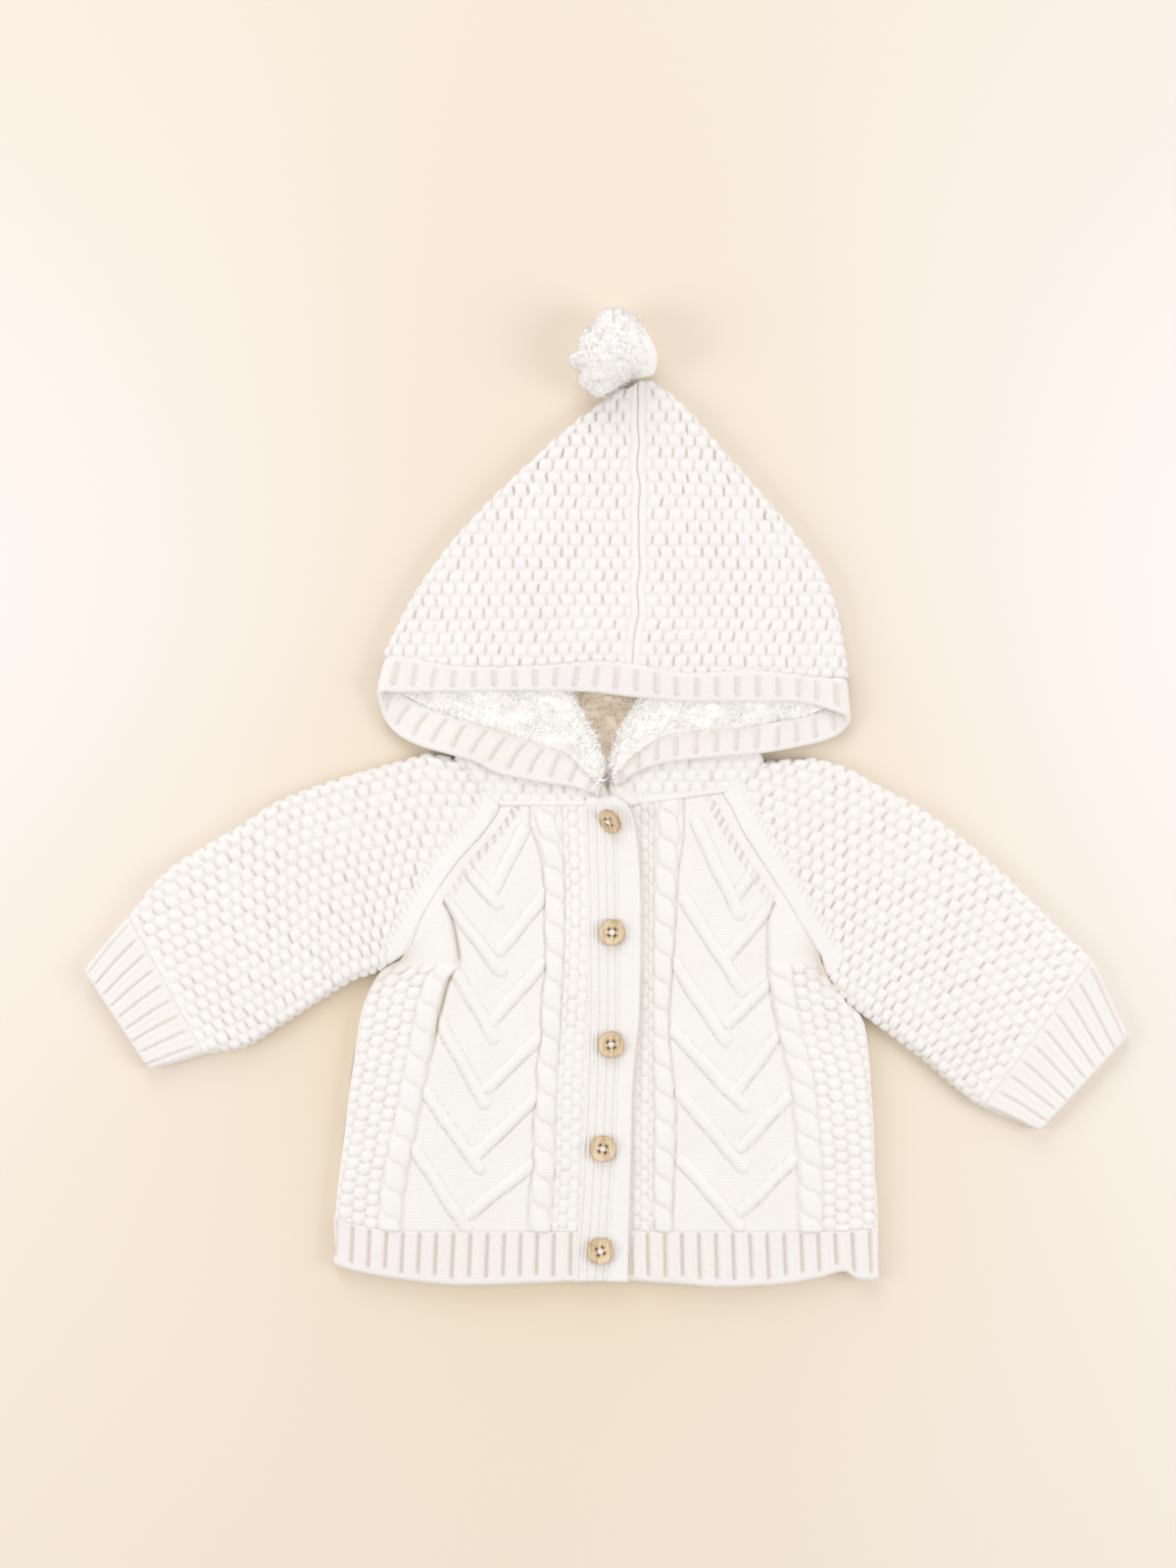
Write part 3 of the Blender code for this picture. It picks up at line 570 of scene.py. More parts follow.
# The chevrons' arms: from their outer ends in to the middle of the field, and a little past it.
ARMS_RIGHT = table(
    "x y end_x end_y",
    (-76, -40, -60, -58),
    (-87, -58, -58, -95),
    (-84, -93, -62, -132),
    (-92, -122, -67, -168),
    (-99, -162, -70, -204),
    (-105, -194, -77, -237),
    (-46, -18, -61, -49),
    (-34, -53, -58, -84),
    (-35, -91, -62, -122),
    (-35, -130, -65, -159),
    (-39, -165, -71, -196),
    (-41, -201, -75, -229),
)
ARMS_LEFT = table(
    "x y end_x end_y",
    (50, -14, 73, -64),
    (43, -56, 75, -106),
    (38, -91, 65, -133),
    (37, -128, 76, -170),
    (41, -163, 75, -203),
    (42, -200, 73, -236),
    (80, -42, 72, -53),
    (90, -60, 67, -87),
    (89, -102, 67, -124),
    (93, -132, 72, -161),
    (99, -165, 74, -192),
    (102, -200, 75, -227),
)
ARM_WIDTH, ARM_HEIGHT = 6.6, 1.15
GROUND = -0.5  # how deep the plain field between the chevrons lies
MOSS = {"right": (7.9, 5.2), "left": (7.3, 4.4)}  # a moss bump's length, and its column's width
CABLE_WIDTH, CABLE_LOBE, CABLE_LEAN, CABLE_HEIGHT = 10.6, 15.5, 5.2, 1.5
OUTER_WIDTH, OUTER_LOBE, OUTER_LEAN = 13.6, 14.6, 5.6
OUTER_CABLE_TOP = -90  # the second cable and the pebbles start below the underarm
FURROW_WIDTH = 0.7  # between one stitch and the next
DASH_PITCH, DASH_STRIP, DASH_END = 4.6, (6, 10.4), -64  # slanting dashes beside the raglan
RAGLAN_SLANT = 0.86  # how far across the raglan for each step sideways
# Where the sleeve presses on the front's fold: place and width, how much it bulges, and how much painted
# shade it gets.
UNDERARM = {"right": (-92, 9, 1.4, 0.8), "left": (-96, 19, 1, 1)}
# where the painted shade under the sleeve's fold lies on a front, and how wide it is
UNDERARM_SHADE = (-92, 13)
BAND_SHADE = 0.28  # painted shadow of the band's free edge, on the left front beside it
DEEP_RIM = (*PLAIN_RIM, (-0.3, 4.4))  # for an edge beside a round fold
PLACKET_RIM = ((-0.5, 0.1), (-2.5, 0.1))  # a front runs on under the placket


def rope(along, across, width, lobe, lean):
    """Height and painted shade of a rope cable, whose plump strands cross it downwards to the right."""
    side = np.clip(2 * across / width, -1.15, 1.15)
    phase = (along + lean * (side - 0.22 * np.sin(math.pi * side))) / lobe
    place = phase - np.round(phase)
    gap = ridge((0.5 - np.abs(place)) * lobe * 0.7, 0.85)
    strand = 0.3 + 0.7 * np.sqrt(np.maximum(1 - (2 * np.abs(place)) ** 2, 0))
    scallop = 1 + 0.13 * np.cos(2 * math.pi * place)
    body = np.sqrt(np.maximum(1 - (side / scallop) ** 2, 0))
    edge = ridge(side / scallop - np.sign(side), 0.14)
    height = CABLE_HEIGHT * body * strand - 0.4 * gap * body - 0.3 * edge
    return np.array([height, 0.42 * gap * (0.3 + 0.7 * body) + 0.28 * edge])


def chevrons(x, y, arms):
    """Height and painted shade of the chevrons' arms, each a round rib with a fine furrow at its sides."""
    height, furrow = np.full(x.shape, 0.0), np.full(x.shape, 0.0)
    x, y = x + 0.5 * uneven(x, y, 30, 8), y + 0.4 * uneven(x, y, 26, 9)
    for start_x, start_y, end_x, end_y in zip(*arms.values()):
        run = np.array([end_x - start_x, end_y - start_y])
        share = ((x - start_x) * run[0] + (y - start_y) * run[1]) / (run @ run)
        share = np.clip(share, 0, 1)
        off_x, off_y = x - start_x - share * run[0], y - start_y - share * run[1]
        far = np.hypot(off_x, off_y)
        round_rib = np.maximum(1 - (2 * far / ARM_WIDTH) ** 2, 0) ** 0.55
        rib = round_rib * (1 - 0.3 * smooth((share - 0.8) / 0.2))
        # the furrow is deeper, and its painted shade heavier, on the arm's lower side
        lower = 0.35 + 0.65 * smooth(0.5 - off_y / ARM_WIDTH)
        edge = ridge(far - ARM_WIDTH / 2, 0.6) * lower * (1 - 0.5 * smooth((share - 0.85) / 0.15))
        furrow = np.where(rib > height, furrow, np.maximum(furrow, edge))
        height = np.maximum(height, rib)
    furrow = furrow * (height < 0.35)
    # painted shade in the furrows, and a little over the low field between the arms
    shade = 0.48 * furrow + 0.1 * (1 - height)
    return np.array([GROUND + (ARM_HEIGHT - GROUND) * height - 0.4 * furrow, shade])


def within(value, low, high, blur=0.7):
    """1 between two limits and 0 outside them, with soft edges."""
    return smooth((value - low) / blur + 0.5) * smooth((high - value) / blur + 0.5)


def both(height, painted_shade):
    """A factor for a stitch's height and one for its painted shade."""
    return np.array([height, painted_shade])[:, None, None]


def front_points(wearer, top_edge):
    """The grid of one front, how far its points lie from the middle, and how far from the raglan."""
    side = SIDES[wearer]
    inward = 1 if side == "left" else -1
    across = steps(FRONT_ACROSS, FRONT_STEP)[1:]
    rows = steps(FRONT_UP, FRONT_STEP)[:, None]
    y = mix(BODY_LOW, FRONT_TOP, rows) + np.zeros(len(QUARTER) + len(across))
    n = len(QUARTER)
    for _ in range(4):
        edge = look(BODY, "y", y, side)
        x_fold, z_fold = fold_points(edge[:, :n], inward, QUARTER, y[:, :n], 1)
        inner = look(BAND, "y", y[:, n:], side) + BAND_EDGES[wearer]
        x = np.concatenate([x_fold, mix(edge[:, n:] + inward * HALF, inner, across)], 1)
        y = mix(look(HEM, "x", x, "top") + SEAM / 2, top_edge(x), rows)
    z = np.concatenate([z_fold, np.full(inner.shape, BODY_HEIGHT)], 1)
    round_fold = np.abs(edge[:, :n]) - HALF + HALF * (math.pi / 2 - QUARTER)
    out = np.abs(x)
    out[:, :n] = mix(out[:, :n], round_fold, side_round(y[:, :n]))
    return x, y, z, out, (np.abs(edge) - np.abs(x)) * RAGLAN_SLANT


def pressed_pleat(beyond, depth):
    """Height and painted shade of the pleat's crease, and of the cloth that rises beyond it."""
    crease = ridge(beyond, 1.3) * depth
    rise = smooth(beyond / 3) * np.exp(-np.maximum(beyond - 3, 0) / 9) * depth * 0.5
    return np.array([rise - crease, np.clip(0.5 * crease, 0, 1)])


def raglan_dashes(y, raglan):
    """Height and painted shade of the slanting dashes in the plain strip beside the raglan."""
    slant = (y + 1.1 * raglan) / DASH_PITCH
    dash = ridge((slant - np.round(slant)) * DASH_PITCH, 0.95) * within(raglan, *DASH_STRIP)
    dash = dash * smooth((y - DASH_END) / 6) * (0.5 + 0.7 * chance(np.round(slant), 6))
    return dash * both(-1.2, 0.55)


def underarm(wearer, y, raglan):
    """Height and painted shade where the sleeve's fold presses: the front bulges, and shade is painted on it
    beside the fold.
    """
    place, width, bulge, dark = UNDERARM[wearer]
    near = np.maximum(raglan, 0)
    pressed = np.exp(-near / 1.2) * bulge * ridge(y - place, width)
    # painted shade on the front where the sleeve's fold lies over it
    painted_underarm_shade = np.exp(-near / 4.5) * dark * ridge(y - UNDERARM_SHADE[0], UNDERARM_SHADE[1])
    return np.array([1.2 * pressed, 1.3 * painted_underarm_shade])


def front_stitch(wearer, x, y, out, raglan, zones, arms):
    """Everything that is knitted into a front, as height and painted shade."""
    outwards = -1 if wearer == "right" else 1
    moss, cable, pleat = (look(zones, "y", y, name) for name in ("moss", "cable", "pleat"))
    below = smooth((OUTER_CABLE_TOP - y) / 5)
    side_fade = smooth(np.arange(x.shape[1]) / 5)
    rope_off = x - (moss + cable) / 2 * outwards
    outer_off = x - (pleat + OUTER_WIDTH / 2) * outwards
    outer_rope = rope(y + 4, outer_off, OUTER_WIDTH - 1, OUTER_LOBE, OUTER_LEAN)
    total = within(out, 0, moss) * 0.8 * beads(y, out - moss + 0.5, *MOSS[wearer])
    total = total + within(out, moss, cable) * rope(y, rope_off, CABLE_WIDTH, CABLE_LOBE, CABLE_LEAN)
    total = total + within(out, cable, pleat) * chevrons(x, y, arms)
    total = total + within(out, pleat, pleat + OUTER_WIDTH) * below * 0.85 * outer_rope
    beyond = out - pleat - OUTER_WIDTH
    total = total + smooth(beyond) * below * beads(y, beyond - 3.4, *BODY_STITCH) * side_fade
    for line, deep in ((moss, 0.7), (cable, 0.9), (pleat + OUTER_WIDTH, 0.5 * below)):
        total = total + ridge(out - line, FURROW_WIDTH) * deep * both(-1, 0.5)
    total = total + pressed_pleat(out - pleat, look(PLEAT, "y", y, wearer))
    total = total + (1 - side_round(y)) * raglan_dashes(y, raglan)
    return total + 0.35 * uneven(x, y, 55, 1) * both(1, 0)


def front(wearer, top_edge, zones, arms):
    """Makes one front, from the side's fold to the placket."""
    x, y, z, out, raglan = front_points(wearer, top_edge)
    inner = np.abs(look(BAND, "y", y, SIDES[wearer]) + BAND_EDGES[wearer])
    stitch = front_stitch(wearer, x, y, out, raglan, zones, arms)
    stitch[0] = stitch[0] * smooth((out - inner) / 1.5)
    if wearer == "left":
        z = z - PLACKET_DIP * (1 - smooth((x - inner) / DIP_WIDTH))
        # painted shadow of the band's raised edge on the left front
        stitch[1] = stitch[1] + BAND_SHADE * np.exp(-np.maximum(out - inner, 0) / 6)
    stitch = stitch + underarm(wearer, y, raglan) + (1 - side_round(y)) * edge_roll(raglan)
    stitch = stitch + edge_roll(y - look(HEM, "x", x, "top"), 0.6) + edge_roll(top_edge(x) - y, 0.5)
    points = np.stack([x, y, z], -1)
    rims = {"bottom": PLAIN_RIM, "top": PLAIN_RIM, "left": DEEP_RIM, "right": PLACKET_RIM}
    name, flip = f"front_{wearer}_panel", wearer == "left"
    piece = knit_mesh(name, points, stitch, (y, out), rims, BODY_KNIT, flip)
    lay(piece, f"front_{wearer}", "knit", flat_area(points))


front("right", lambda x: np.full(x.shape, FRONT_TOP), ZONES_RIGHT, ARMS_RIGHT)
front("left", lambda x: look(NECKLINE_LEFT, "x", x, "y"), ZONES_LEFT, ARMS_LEFT)

# Hem -----------------------------------------------------------------------------------------
# A deep band of rib, three plain columns to each sunk one, knitted on to the fronts and the back.
HEM_UP, ROW_STEP = 29, 1.1  # its height, and the step of its rows and the placket's
HEM_ACROSS, HEM_STEP = 134, 0.62
HEM_BACK_ACROSS, HEM_BACK_STEP = 292, 1.0
HEM_SEAM, HEM_END = -238.6, -266.4  # the hem's two edges at the placket
HEM_SIDE = -240.0  # the hem is as wide all the way down as the body is here
# the coat's yarn made a little darker and warmer for the ribs: painted shade
RIB_SHADED_WHITE = (0.93, 0.905, 0.89)
RIB_DEPTH = 1.5  # of a sunk column
HEM_EDGE = 4.2  # the sunk columns stop so far above the hem's lower edge
HEM_RIBS = {"left": (9.25, 19.2), "right": (9.4, 22.8)}  # pitch, and the first sunk column
HEM_SLOT = 2.2  # a sunk column's width
HEM_LEAN = 0.02  # how much the columns spread towards the lower edge
HEM_RIM = ((0, 1.3), (1.0, 2.6), (6, 2.8))
TURNED_IN = 1.28  # the rib's cut length over the length that shows, because its edge is turned in
RIB_KNIT = yarn_finish("rib_yarn", RIB_SHADED_WHITE)


def ribs(place, pitch, slot, depth=RIB_DEPTH):
    """Height and painted shade of rib: place counts sunk columns, slot is the width of one."""
    off = (place - np.round(place)) * pitch
    sunk = np.exp(-((np.abs(off) / (slot / 2)) ** 4))
    crown = 1 - (2 * np.abs(off) / pitch - 1) ** 2
    fine = np.cos(2 * math.pi * 3 * np.abs(off) / pitch) * 0.1 * (1 - sunk)
    # a line of painted shadow along one side of each sunk column; the column itself is in painted shade too
    line = ridge(off + 0.36 * slot, 0.42)
    height = -depth * sunk + 0.3 * (1 - crown) + fine - 0.1
    return np.array([height, np.clip(0.55 * sunk + 0.65 * line, 0, 1)])


def hem_points(sides, band_edge, up):
    """A stretch of the hem from one folded side to the placket, or to the other side."""
    rows = steps(HEM_UP, ROW_STEP)[:, None]
    turn = QUARTER + 0 * rows
    edges = [look(BODY, "y", HEM_SIDE, side) for side in sides]
    inward = 1 if sides[0] == "left" else -1
    first_x, first_z = fold_points(edges[0], inward, turn, HEM_SIDE, up)
    if len(sides) == 1:
        inner = look(BAND, "y", mix(HEM_END, HEM_SEAM, rows), sides[0]) + band_edge
        flat = mix(edges[0] + inward * HALF, inner, steps(HEM_ACROSS, HEM_STEP)[1:])
        last_x = last_z = np.zeros((len(rows), 0))
    else:
        across = steps(HEM_BACK_ACROSS, HEM_BACK_STEP)[1:-1] + 0 * rows
        flat = mix(edges[0] + HALF, edges[1] - HALF, across)
        last_x, last_z = fold_points(edges[1], -1, turn[:, ::-1], HEM_SIDE, up)
    x = np.concatenate([first_x, flat, last_x], 1)
    z = np.concatenate([first_z, np.full(flat.shape, HALF + up * HALF), last_z], 1)
    y = mix(look(HEM, "x", x, "bottom"), look(HEM, "x", x, "top") - SEAM / 2, rows)
    return x, y, z, rows


def hem_stitch(x, y, rows):
    """Height and painted shade of the hem's rib, whose sunk columns lean out a little downwards."""
    pitch, first = (np.where(x < 0, *pair) for pair in zip(HEM_RIBS["left"], HEM_RIBS["right"]))
    place = (np.abs(x) * (1 - HEM_LEAN * (1 - rows) * (1 - np.abs(x) / 300)) - first) / pitch
    number = np.round(place)
    rib = ribs(place + 0.04 * uneven(x, y, 90, 2), pitch, HEM_SLOT) * both(1, 1.25)
    top, bottom = look(HEM, "x", x, "top"), look(HEM, "x", x, "bottom")
    slot_end = HEM_EDGE + 1.6 * (chance(number, 7) - 0.5) + 1.2 * (2 * (place - number)) ** 2
    rib = rib * smooth((top - y - 0.6) / 1.2) * smooth((y - bottom - slot_end) / 1.5 + 0.5)
    return rib + edge_roll(top - y, 0.7) + edge_roll(y - bottom, 2.6) * both(1, 0.4)


for wearer, side in SIDES.items():
    x, y, z, rows = hem_points([side], BAND_EDGES[wearer], 1)
    if wearer == "left":
        z = z - PLACKET_DIP * (1 - smooth((x - look(BAND, "y", y, side)) / DIP_WIDTH))
    points = np.stack([x, y, z], -1)
    inner = np.abs(look(BAND, "y", y, side) + BAND_EDGES[wearer])
    stitch = hem_stitch(x, y, rows)
    stitch[0] = stitch[0] * smooth((np.abs(x) - inner) / 1.5)
    rims = {"bottom": HEM_RIM, "top": PLAIN_RIM, "left": PLAIN_RIM, "right": PLACKET_RIM}
    name, flip = f"hem_{wearer}_rib", wearer == "left"
    hem = knit_mesh(name, points, stitch, (y, x), rims, RIB_KNIT, flip)
    area = flat_area(points) * TURNED_IN
    lay(hem, f"hem_front_{wearer}", "knit", area)
x, y, z, rows = hem_points(["left", "right"], 0, -1)
points = np.stack([x, y, z], -1)
rims = {"bottom": HEM_RIM, "top": PLAIN_RIM}
stitch = hem_stitch(x, y, rows)
hem = knit_mesh("hem_back_rib", points, stitch, (y, x), rims, RIB_KNIT, flip=True)
lay(hem, "hem_back", "knit", flat_area(points) * TURNED_IN)

# Placket -------------------------------------------------------------------------------------
# Two bands of rib knitted lengthways. The buttonhole band lies on top: four sunk columns with a
# fine one between each, then a smooth strip at its free edge. It rolls over at the neck.
BAND_TOP, BAND_LIFT, UNDERLAP_TOP = 10.0, 6.8, 6.5  # the bands' heights over the table
BAND_LOW, BAND_NECK = -266.0, 1.6  # the bands' two ends
BAND_UP, BAND_ACROSS, BAND_STEP, UNDERLAP_STEP = 267, 28, 0.5, 1.5
BAND_BENDS = -228  # below this the rows bend to the hem's edge
BAND_COLUMNS, FINE_OFF = (1.7, 6.3, 10.9, 15.2), 2.3  # from the band's seam, and from each column
FREE_STRIP = 17.5  # where the smooth strip's own fine columns start
COLUMNS_TOP = -2  # the columns fade out here, below the roll at the neck
BEAD = 2.6  # the length of a plain stitch in a sunk column
BAND_RIM = ((0, 1.2), (0.3, 2.4), (0.6, 3.1))
SEWN_RIM = ((-0.4, 0.6), (-0.5, 1.8), (-0.4, 3.1))
PLAIN_RIMS = {side: PLAIN_RIM for side in ("left", "right", "top", "bottom")}


def band_points(step, top, gap):
    """A band's grid, and how far its points lie from its left and its right edge."""
    rows = steps(BAND_UP, ROW_STEP)[:, None]
    across = steps(BAND_ACROSS, step)
    y = mix(BAND_LOW, BAND_NECK, rows) + 0 * across
    left, right = look(BAND, "y", y, "left"), look(BAND, "y", y, "right") + gap
    x = mix(left, right, across)
    bottom = look(HEM, "x", x, "bottom")
    bent = mix(BAND_BENDS, bottom, (BAND_BENDS - y) / (BAND_BENDS - BAND_LOW))
    y = np.where(y < BAND_BENDS, bent, y)
    return np.stack([x, y, np.full(x.shape, top)], -1), x - left, right - x


points, in_left, in_right = band_points(BAND_STEP, BAND_TOP, 0)
x, y = points[..., 0], points[..., 1]
bead = 0.7 + 0.3 * np.cos(2 * math.pi * y / BEAD)
lines = sum(ridge(in_left - column, 0.6) for column in BAND_COLUMNS)
fine = sum(ridge(in_left - column - FINE_OFF, 0.45) for column in BAND_COLUMNS)
fine = fine + 0.45 * sum(ridge(in_left - FREE_STRIP - FINE_OFF * i, 0.45) for i in range(4))
below_neck = smooth((COLUMNS_TOP - y) / 4)
lines, fine = lines * bead * below_neck, fine * below_neck
swell = 0.3 * smooth((in_left - 15.5) / 2) + 0.25 * uneven(x, y, 50, 4)
# painted shade in the sunk columns and the fine ones
stitch = np.array([swell - 0.9 * lines - 0.4 * fine, 0.62 * lines + 0.2 * fine])
stitch = stitch + 0.5 * edge_roll(in_left, 1.0) + edge_roll(in_right, 1.5) + edge_roll(BAND_NECK - y, 2.2)
stitch = stitch + edge_roll(y - look(HEM, "x", x, "bottom"), 1.3)
rims = {"left": SEWN_RIM, "right": BAND_RIM, "top": BAND_RIM, "bottom": BAND_RIM}
band = knit_mesh("buttonhole_rib", points, stitch, (y, x), rims, BODY_KNIT)
lay(band, "buttonhole_band", "knit", flat_area(points))
points, in_left, in_right = band_points(UNDERLAP_STEP, UNDERLAP_TOP, SEAM)
stitch = edge_roll(in_left, 1.2) + edge_roll(in_right, 1.2)
weave = (points[..., 1], points[..., 0])
band = knit_mesh("button_band_rib", points, stitch, weave, PLAIN_RIMS, BODY_KNIT)
lay(band, "button_band", "knit", flat_area(points))

# Sleeves and cuffs ---------------------------------------------------------------------------
# Each sleeve is one panel of pebble stitch folded lengthways into a flattened tube, with a plain
# strip along its raglan seam. Its rib cuff draws it in and turns in at the wrist.
SLEEVE_RIGHT = table(
    "x_top y_top x_low y_low height",
    (-288.3, -95, -252, -150, 8.6),
    (-276, -79.5, -236.5, -145.8, 8.8),
    (-263, -64.5, -221, -141.4, 9.2),
    (-243, -41, -201, -138, 9.8),
    (-222, -27, -181, -126.5, 10),
    (-201, -15, -160, -113, 10),
    (-181, -2, -139, -100.4, 10),
    (-160, 6.5, -130, -97.2, 9.9),
    (-140, 13, -125.5, -95.4, 9.7),
    (-113, 20.5, -120, -92.9, 9.4),
    (-98, 25, -116.5, -91, 9.3),
)
SLEEVE_LEFT = table(
    "x_top y_top x_low y_low height",
    (288.3, -131, 238.4, -184.4, 8.6),
    (278, -109.8, 222.7, -177.4, 8.8),
    (267.6, -88.6, 207, -170.4, 9.2),
    (254, -76, 191, -158.5, 9.7),
    (239, -61, 177, -146, 10),
    (216, -39, 162, -134.5, 10),
    (193, -20, 147.2, -123.9, 10),
    (170, -3.5, 133.1, -113.3, 9.9),
    (148, 8, 124.5, -103.2, 9.6),
    (130, 18, 120.4, -95.5, 9.4),
    (114.5, 22, 118.3, -88.9, 9.3),
)
# Where a sleeve ends: from the shoulder fold down the neckline, then down the raglan.
SLEEVE_END_RIGHT = table(
    "x y", (-81, 22), (-59.7, -4.4), (-66.2, -15.9), (-84.5, -37.5), (-100.8, -63.5), (-112.7, -87.6)
)
SLEEVE_END_LEFT = table(
    "x y", (88, 20.5), (65.3, 3), (74.8, -15.9), (88.2, -37.5), (104.4, -63.5), (118.1, -87)
)
CUFF_ROWS = 2  # how many rows of the tables above lead from the wrist to the cuff's seam
SLEEVE_STITCH = (7.0, 7.0)  # a pebble's length along its row, and the row's width
SLEEVE_OVER, SLEEVE_UNDER, SLEEVE_STEP, SLEEVE_UNDER_STEP = 100, 96, 1.0, 2.2
CUFF_OVER, CUFF_UNDER, CUFF_STEP, CUFF_UNDER_STEP, CUFF_STATIONS = 70, 66, 0.62, 1.2, 42
CUFF_RIBS, CUFF_PITCH, CUFF_SLOT, CUFF_DEPTH = {"right": 9, "left": 9.5}, 7.8, 1.6, 1.3
CUFF_TURNED_IN = 1.4  # its whole length over the length that shows
CUFF_EDGE = 2.0  # the sunk columns stop so far short of the cuff's end
CUFF_RIM = ((0, 1.4), (1.0, 2.8), (16, 3.0))
RAGLAN_STRIP, RAGLAN_GAP = 12, 0.1  # the plain strip's width, and the gap at the seam
STRIP_DASH = 4.2  # from one slanting dash at the strip's edge to the next
FOLD_TURN = np.linspace(0, math.pi, 13)[1:-1]


def pebbles(along, across, pitch, row, tick=0.75):
    """Height and painted shade of pebble stitch. Rows of bumps run along, every other one half over.

    Between the bumps of a row there are short gaps in painted shade, each a little bent and leaning.
    """
    j = np.round(across / row)
    side = across / row - j
    place = along / pitch - 0.5 * np.mod(j, 2) + 0.07 * (chance(j, 3) - 0.5)
    i = np.floor(place)
    place = place - i - 0.5
    bend = 1.3 * (chance(i, j, 2) - 0.5) * (1 - (2 * side) ** 2) + 1.5 * (chance(j, i, 4) - 0.5) * side
    short = smooth((np.abs(side) - 0.2 - 0.1 * chance(i, j, 5)) / 0.22)
    gap = ridge(place * pitch - bend, tick) * (1 - short) * (0.55 + 0.75 * chance(j, i))
    valley = ridge((0.5 - np.abs(side)) * row + 0.5 * np.cos(2 * math.pi * place), 0.9)
    dome = np.sqrt(np.clip(1 - 0.9 * (2 * (0.5 - np.abs(place))) ** 2 - 0.75 * (2 * side) ** 2, 0, 1))
    height = 0.95 * dome * (0.8 + 0.4 * chance(i, j)) - 1.0 * gap - 0.4 * valley
    return np.array([height - 0.45, np.clip(0.9 * gap + 0.2 * valley, 0, 1)])


def path_lengths(path):
    """How far along its length, from 0 to 1, each point of a path lies, and that length."""
    along = np.concatenate([[0], np.cumsum(np.hypot(np.diff(path["x"]), np.diff(path["y"])))])
    return along / along[-1], along[-1]


def tube_points(rows, end, station, over, under):
    """A flattened tube: its upper layer, lower fold, lower layer, upper fold and first column.

    station counts the rows of the tube's table, and its last step leads to the end's path. over
    and under are the shares of the way down its two layers. Also gives each column's share and
    half the tube's height.
    """
    last = len(rows["height"]) - 1
    index = np.arange(last + 1.0)
    station = station[:, None]
    row = np.minimum(station, last)
    top_x, top_y, low_x, low_y = (curve(index, rows[n], row) for n in ("x_top", "y_top", "x_low", "y_low"))
    shares, end_length = path_lengths(end)
    beyond = np.clip(station - last, 0, 1)
    length = mix(np.hypot(low_x - top_x, low_y - top_y), end_length, beyond)
    half = curve(index, rows["height"], row) / 2
    inset = half / length
    lower = 1 - inset + inset * np.sin(FOLD_TURN)
    upper = inset - inset * np.sin(FOLD_TURN)
    share = [mix(inset, 1 - inset, over), lower, mix(1 - inset, inset, under), upper, inset]
    share = np.concatenate([s + 0 * station for s in share], 1)
    lift = [1 + 0 * over, np.cos(FOLD_TURN), -1 + 0 * under, -np.cos(FOLD_TURN), [1]]
    end_x, end_y = curve(shares, end["x"], share), curve(shares, end["y"], share)
    side = "left" if end["x"][0] < 0 else "right"
    raglan_x = look(BODY, "y", end_y, side) + RAGLAN_GAP * np.sign(end_x)
    end_x = np.where(share > shares[1], raglan_x, end_x)
    x, y = mix(mix(top_x, low_x, share), end_x, beyond), mix(mix(top_y, low_y, share), end_y, beyond)
    return np.stack([x, y, half + half * np.concatenate(lift)], -1), share, half


def lengths_along(path):
    """How far along a path each of its points lies."""
    return np.concatenate([[0], np.cumsum(np.linalg.norm(np.diff(path, axis=0), axis=-1))])


def along_and_across(points, middle):
    """Places along and across a tube's smoothed middle line, the second round its folds."""
    spine = points[:, middle, :2]
    place = lengths_along(spine)
    centre = np.stack([np.polyval(np.polyfit(place, spine[:, i], 2), place) for i in (0, 1)], -1)
    run = unit(np.gradient(centre, axis=0))
    off = points[..., :2] - centre[:, None]
    along = lengths_along(centre)[:, None] + (off * run[:, None]).sum(-1)
    side = off[..., 0] * -run[:, None, 1] + off[..., 1] * run[:, None, 0]
    around = np.cumsum(np.hypot(np.diff(side, axis=1), np.diff(points[..., 2], axis=1)), 1)
    around = np.concatenate([np.zeros((len(points), 1)), around], 1)
    return along, around + (side - around)[:, middle : middle + 1]


def path_distance(x, y, path):
    """The distance to a path, and the place along it in millimetres."""
    best, place, done = np.full(x.shape, 1e9), np.zeros(x.shape), 0.0
    for i in range(len(path["x"]) - 1):
        run = np.array([path["x"][i + 1] - path["x"][i], path["y"][i + 1] - path["y"][i]])
        off_x, off_y = x - path["x"][i], y - path["y"][i]
        share = np.clip((off_x * run[0] + off_y * run[1]) / (run @ run), 0, 1)
        far = np.hypot(off_x - share * run[0], off_y - share * run[1])
        place = np.where(far < best, done + share * np.hypot(*run), place)
        best, done = np.minimum(best, far), done + np.hypot(*run)
    return best, place


